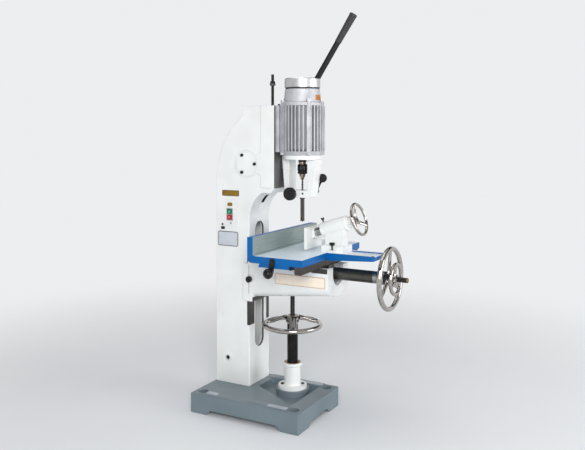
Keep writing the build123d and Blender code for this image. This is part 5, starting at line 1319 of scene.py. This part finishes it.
@dataclass
class Lift(Part):
    """The pedestal, the threaded lift screw and the lift wheel."""

    reach: float = 180.0
    flange_top: float = 102.0
    screw_circle: float = 94.0
    lip_top: float = 205.0
    first_screw: float = -61.1
    rim_height: float = 377.4
    thread_radius: float = 11.0
    thread: Pair = (1.6, 6.0)
    bush: Profile = ((25.2, -0.4), (37.5, -0.4), (37.5, 0.4), (36.9, 0.8), (26.6, 0.8), (25.2, 0.2))

    coats = ((WHITE_ENAMEL, "pedestal"), (GLOSS_BLACK, "lift_tube"), (BRONZE, "lift_nut"))

    def build(self) -> None:
        """Add the flange's screws, the screw's thread and the wheel."""
        form = Form(stand(at(0, self.reach, self.flange_top)))
        for step in range(2):
            angle = math.radians(self.first_screw + 180 * step)
            far = self.screw_circle / 2
            form.place = stand(at(far * math.cos(angle), self.reach - far * math.sin(angle), self.flange_top))
            cap_screw(form, head=15.0, rise=5.0)
        form.piece("pedestal_screws", "frame", [BLACK_STEEL], "dark_steel")
        form = Form(stand(at(0, self.reach, self.lip_top)))
        form.lathe(self.bush, turns=72, loop=True)
        form.piece("lip_bush", "frame", [BRONZE], "bronze")
        low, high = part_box("lift_screw")
        screw = threaded(stand(at(0, self.reach, 0.0)), self.thread_radius, low.z / MM, high.z / MM, *self.thread)
        screw.piece("lift_thread", "knee_slide", [BLACK_STEEL], "dark_steel", ["lift_screw"])
        Handwheel("lift_wheel_chrome", "lift_wheel", "lift_handwheel", at(0, self.reach, self.rim_height), UP,
                  diameter=280.0, rim=22.0, hub=62.0, hub_low=8.0, hub_length=36.0, bore=19.2, dish=26.0,
                  spoke=36.0).build()


@dataclass
class Knee(Part):
    """The white knee with its blank plate."""

    side: float = -103.5
    plate: Quad = (273.5, 606.0, 253.0, 48.0)
    slit: Quad = (6.0, 588.0, 1.8, 134.0)
    slit_levels: Profile = ((-0.5, 0.0), (0.1, 0.0), (0.2, 0.2))

    coats = ((KNEE_ENAMEL, "knee"), (WHITE_ENAMEL, "saddle"), (GROUND_IRON, "knee_keeper"),
             (BRONZE.along(Marks.ROUND_Y), "cross_nut"))

    def build(self) -> None:
        """Add the plate on the left wall and a dark strip that paints the shade of the clamp's saw cut."""
        reach, height, width, tall = self.plate
        Plate("knee_plate", "knee_slide", at(self.side, reach, height), LEFT, width, tall, CREAM_RIM, CREAM_PLATE,
              "switch_plastic", border=2.4).build()
        # Painted shade: a thin dark strip where the clamp's saw cut runs, which the solid lacks
        reach, height, width, tall = self.slit
        form = Form(stand(at(self.side, reach, height), LEFT, FRONT))
        form.slab(width, tall, corner=0.8, levels=self.slit_levels)
        form.piece("clamp_slit", "knee_slide", [BLACK_PLASTIC], "black_plastic")


@dataclass
class Table(Part):
    """The blue table with its rack, its lock lever and its small screws."""

    left: float = -295.0
    lever_reach: float = 246.0
    lever_height: float = 721.1
    lever_length: float = 50.0
    lever_lean: float = 8.0
    bar_width: float = 24.0
    bar_levels: Profile = ((0.4, 0.8), (1.2, 0.0), (7.6, 0.0), (8.4, 0.8))
    nut_out: float = 8.2
    ball_radius: float = 22.0
    ball_arc: tuple[float, float, int] = (-60.0, 88.0, 24)
    ball_out: float = 26.4
    nut: Profile = ((8.0, -0.2), (8.0, 4.6), (7.2, 5.2))
    stud: Profile = ((4.0, -16.0), (4.0, 1.0))
    side_screw: Pair = (336.0, 697.6)
    top_pin: Triple = (-57.0, 604.0, 735.1)
    pin: Profile = ((4.0, -0.3), (4.0, 0.8), (3.4, 1.2))
    end_plate: float = 6.5
    groove: tuple[Pair, ...] = ((209.4, 690.1), (307.6, 690.1), (314.8, 703.5), (202.2, 703.5))

    coats = ((BLUE_ENAMEL, "table"), (RACK_STEEL, "table_rack"))

    def build(self) -> None:
        """Build the lock lever with its ball, and the small screws."""
        lean = math.radians(self.lever_lean)
        along = Vector((0.0, math.sin(lean), -math.cos(lean)))
        pivot = at(self.left, self.lever_reach, self.lever_height)
        middle = pivot + along * self.lever_length / 2 * MM
        form = Form(stand(middle, LEFT, along))
        form.slab(self.lever_length + self.bar_width, self.bar_width, self.bar_width / 2, self.bar_levels)
        form.place = stand(pivot, LEFT)
        form.lathe(self.stud, turns=24)
        form.place = stand(pivot + Vector(LEFT) * self.nut_out * MM, LEFT)
        form.lathe(self.nut, turns=36, shape=hexagon(self.nut[0][0]))
        form.kind = 1
        form.place = stand(pivot + (along * self.lever_length + Vector(LEFT) * self.ball_out) * MM, LEFT)
        form.lathe(arc(self.ball_radius, *self.ball_arc), turns=48)
        form.piece("lock_lever", "table_lock", [BLACK_STEEL, PHENOLIC], "dark_steel", ["table_lock_lever"])
        form = Form(stand(at(self.left, *self.side_screw), LEFT))
        cap_screw(form, head=16.0, rise=8.0)
        form.place = stand(at(*self.top_pin))
        form.lathe(self.pin, turns=24)
        form.piece("table_screws", "work_table", [BLACK_STEEL], "dark_steel")
        self.end_plates()

    def end_plates(self) -> None:
        """Close the dovetail groove at both ends with a thin blue plate."""
        form = Form(stand(at(0, 0, 0.0), UP, FRONT))
        for side in (-1, 1):
            rings = []
            for far in (self.left, self.left + self.end_plate):
                rings.append([(reach, side * far, height) for reach, height in self.groove])
            form.loft(rings)
        form.piece("groove_end_plates", "work_table", [BLUE_ENAMEL], "blue_paint")


@dataclass
class Feeds(Part):
    """The feed tube, the cross screw and their two wheels on one axis."""

    height: float = 635.1
    tube_start: float = 235.0
    shoulder: float = 378.5
    bright_start: float = 589.0
    collar_start: float = 624.0
    front: float = 640.0
    nose_end: float = 670.0
    screw_start: float = 64.0
    screw_end: float = 744.0
    bore: float = 11.4
    journal: float = 20.0
    tube: float = 27.0
    collar: float = 30.0
    nose: float = 17.0
    bevel: float = 0.8
    screw_radius: float = 11.0
    brass: float = 6.0
    traverse_rim: float = 663.0
    cross_rim: float = 687.4

    coats = ((STEEL.along(Marks.ROUND_Y), "traverse_pinion"),)

    def build(self) -> None:
        """Build the tube with its bright collar, the screw with its brass end and both wheels."""
        place = stand(at(0, 0, self.height), FRONT)
        form = Form(place)
        bore, tube, collar, bevel = self.bore, self.tube, self.collar, self.bevel
        form.lathe([(bore, self.tube_start), (self.journal, self.tube_start), (self.journal, self.shoulder),
                    (tube - 0.6, self.shoulder), (tube, self.shoulder + 0.6), (tube, self.bright_start),
                    (bore, self.bright_start)], turns=72, loop=True)
        form.kind = 1
        form.lathe([(bore, self.bright_start), (tube, self.bright_start), (tube, self.collar_start),
                    (collar - bevel, self.collar_start), (collar, self.collar_start + bevel),
                    (collar, self.front - bevel), (collar - bevel, self.front), (self.nose, self.front),
                    (self.nose, self.nose_end), (bore, self.nose_end)], turns=72, loop=True)
        dark, bright = BLACK_STEEL.along(Marks.ROUND_Y), STEEL.along(Marks.ROUND_Y)
        form.piece("feed_tube_turned", "traverse_feed", [TUBE_STEEL, bright], "dark_steel", ["feed_tube"])
        form = Form(place)
        radius, joint = self.screw_radius, self.screw_end - self.brass
        form.lathe([(radius - 1, self.screw_start), (radius, self.screw_start + 1), (radius, joint)], turns=48)
        form.kind = 1
        form.lathe([(radius, joint), (radius, self.screw_end - 2), (radius - 2, self.screw_end)], turns=48)
        form.piece("cross_shaft", "cross_feed", [dark, BRASS], "dark_steel", ["cross_screw"])
        Handwheel("traverse_wheel_chrome", "traverse_feed", "traverse_handwheel",
                  at(0, self.traverse_rim, self.height), FRONT, diameter=280.0, rim=22.0, hub=60.0, hub_low=-23.0,
                  hub_length=30.0, bore=17.1, dish=8.0, spoke=24.0, hub_finish=dark).build()
        Handwheel("cross_wheel_chrome", "cross_feed", "cross_handwheel",
                  at(0, self.cross_rim, self.height), FRONT, diameter=144.0, rim=16.0, hub=40.0, hub_low=-17.0,
                  hub_length=26.0, bore=11.1, dish=4.0, spoke=19.5).build()


@dataclass
class Vise(Part):
    """The tilted vise with its wheel and its thumb screw."""

    reach: float = 281.0
    height: float = 806.1
    tilt: float = 18.4
    barrel_radius: float = 34.0
    thumb_along: float = 74.0
    rim_along: float = 247.4
    thumb: Profile = ((3.4, -2.0), (3.4, 9.0), (6.0, 10.0), (6.0, 15.0), (5.0, 16.0))
    wing: Profile = ((2.6, 0.0), (3.2, 4.0), (4.2, 9.0), (3.6, 12.0), (1.6, 13.4))
    wing_rise: float = 12.0
    wing_spread: float = 2.0

    coats = ((WHITE_ENAMEL, "vise_body", "vise_jaw"), (STEEL.along(Marks.ROUND_Y), "vise_ram"),
             (BLACK_STEEL.along(Marks.ROUND_Y), "vise_screw"))

    def build(self) -> None:
        """Build the wheel and the thumb screw on the barrel."""
        tilt = math.radians(self.tilt)
        along = Vector((0.0, -math.cos(tilt), math.sin(tilt)))
        upward = Vector((0.0, math.sin(tilt), math.cos(tilt)))
        origin = at(0, self.reach, self.height)
        rim = origin + along * self.rim_along * MM
        Handwheel("vise_wheel_chrome", "vise_wheel", "vise_handwheel", rim, tuple(along),
                  diameter=152.0, rim=13.0, hub=34.0, hub_low=-33.0, hub_length=24.0, bore=9.1, dish=21.0,
                  spoke=18.0).build()
        foot = origin + (along * self.thumb_along + upward * self.barrel_radius) * MM
        form = Form(stand(foot, upward))
        form.lathe(self.thumb, turns=28)
        for side in (-1, 1):
            form.place = stand(foot + upward * self.wing_rise * MM,
                               Vector((side * self.wing_spread, 0.0, 0.0)) + upward)
            form.lathe(self.wing, turns=20)
        form.piece("vise_thumb_screw", "vise", [BLACK_STEEL], "dark_steel")


@dataclass
class Studio:
    """A pale seamless cove, soft lamps and the camera at the photograph's place."""

    camera_place: Triple = (-2.8865, -1.7355, 1.27)
    camera_way: Triple = (0.8755, 0.4833, 0.0)
    lens: float = 45.05
    shift_y: float = -0.159
    floor_rings: Triple = (0.05, 2.0, 4.0)
    floor_radius: float = 6.0
    cove: float = 3.0
    wall: float = 9.0
    target: Triple = (0.05, -0.1, 0.95)
    lamps: tuple[tuple[str, Triple, float, float], ...] = (
        ("key", (-4.1, -2.6, 2.4), 2.4, 172.0), ("fill", (1.0, -4.9, 1.6), 2.8, 92.0),
        ("top", (0.2, 0.6, 5.0), 3.0, 36.0))
    sky_colour: str = "#f6f6f6"
    sky_strength: float = 0.6
    turns: int = 96
    cove_steps: int = 16

    def build(self) -> None:
        """Build the cove, the lamps, the sky and the camera."""
        self.backdrop()
        for lamp in self.lamps:
            self.lamp(*lamp)
        self.sky()
        self.camera()

    def backdrop(self) -> None:
        """Turn the floor and its cove in one skin."""
        turns, steps = self.turns, self.cove_steps
        bend = [(self.floor_radius + self.cove * math.sin(a), self.cove * (1 - math.cos(a)))
                for a in (math.pi / 2 * i / steps for i in range(steps + 1))]
        profile = [(r, 0.0) for r in self.floor_rings] + bend + [(self.floor_radius + self.cove, self.wall)]
        points = [(r * math.cos(t), r * math.sin(t), h) for r, h in profile
                  for t in (2 * math.pi * i / turns for i in range(turns))]
        faces: list[tuple[int, ...]] = [tuple(range(turns))]
        for level in range(len(profile) - 1):
            for i in range(turns):
                a, b = level * turns + i, level * turns + (i + 1) % turns
                faces.append((a, a + turns, b + turns, b))
        mesh = bpy.data.meshes.new("studio_cove")
        mesh.from_pydata(points, [], faces)
        mesh.shade_smooth()
        mesh.materials.append(PAPER.material())
        cove = bpy.data.objects.new("studio_cove", mesh)
        bpy.context.scene.collection.objects.link(cove)

    def lamp(self, name: str, place: Point, size: float, power: float) -> None:
        """Hang one soft lamp that faces the machine.

        Args:
            name: the lamp's name.
            place: where it hangs, in metres.
            size: its width in metres.
            power: its power in watts.
        """
        data = bpy.data.lights.new(name, "AREA")
        data.shape = "DISK"
        data.size = size
        data.energy = power
        lamp = bpy.data.objects.new(name, data)
        lamp.location = place
        lamp.rotation_euler = (Vector(self.target) - Vector(place)).to_track_quat("-Z", "Y").to_euler()
        bpy.context.scene.collection.objects.link(lamp)

    def sky(self) -> None:
        """Give the open top of the cove an even white."""
        world = bpy.data.worlds.new("studio_sky")
        world.use_nodes = True
        back = world.node_tree.nodes["Background"]
        back.inputs["Color"].default_value = linear(self.sky_colour)
        back.inputs["Strength"].default_value = self.sky_strength
        bpy.context.scene.world = world

    def camera(self) -> None:
        """Put the camera where the photograph was taken from."""
        data = bpy.data.cameras.new("photo_camera")
        data.lens = self.lens
        data.shift_y = self.shift_y
        camera = bpy.data.objects.new("photo_camera", data)
        camera.location = self.camera_place
        camera.rotation_euler = Vector(self.camera_way).to_track_quat("-Z", "Y").to_euler()
        bpy.context.scene.collection.objects.link(camera)
        bpy.context.scene.camera = camera
        bpy.context.scene.view_settings.view_transform = "Standard"


KNOBS = (
    Knob("clamp_knob_fluted", "chisel_clamp", "clamp_knob", at(-33.0, 192.05, 986.5), LEFT, diameter=60.0, low=0.4,
         high=26.0, stem=12.0, stem_low=-20.0, flutes=26, depth=1.3, edge=4.0),
    Knob("knee_lock_fluted", "knee_lock", "knee_lock_knob", at(-103.5, 13.0, 590.0), LEFT, diameter=29.0, low=0.4,
         high=20.0, stem=11.0, stem_low=-12.0, flutes=12, depth=1.4, edge=3.2),
    Knob("vise_lock_fluted", "vise_lock", "vise_lock_screw", at(-57.5, 411.0, 0.0), UP, diameter=25.0, low=767.1,
         high=781.1, stem=7.0, stem_low=735.5, flutes=6, depth=3.2, edge=3.0),
)


def main() -> None:
    """Dress the solids, build the pieces and light them."""
    logging.basicConfig(level=logging.INFO, format="%(name)s: %(message)s")
    for part in (Column(), SwitchStation(), FeedLever(), MotorHead(), Lift(), Knee(), Table(), Feeds(), Vise(),
                 Spindle()):
        part.dress()
        part.build()
    for knob in KNOBS:
        knob.build()
    Studio().build()


if __name__ == "__main__":
    main()
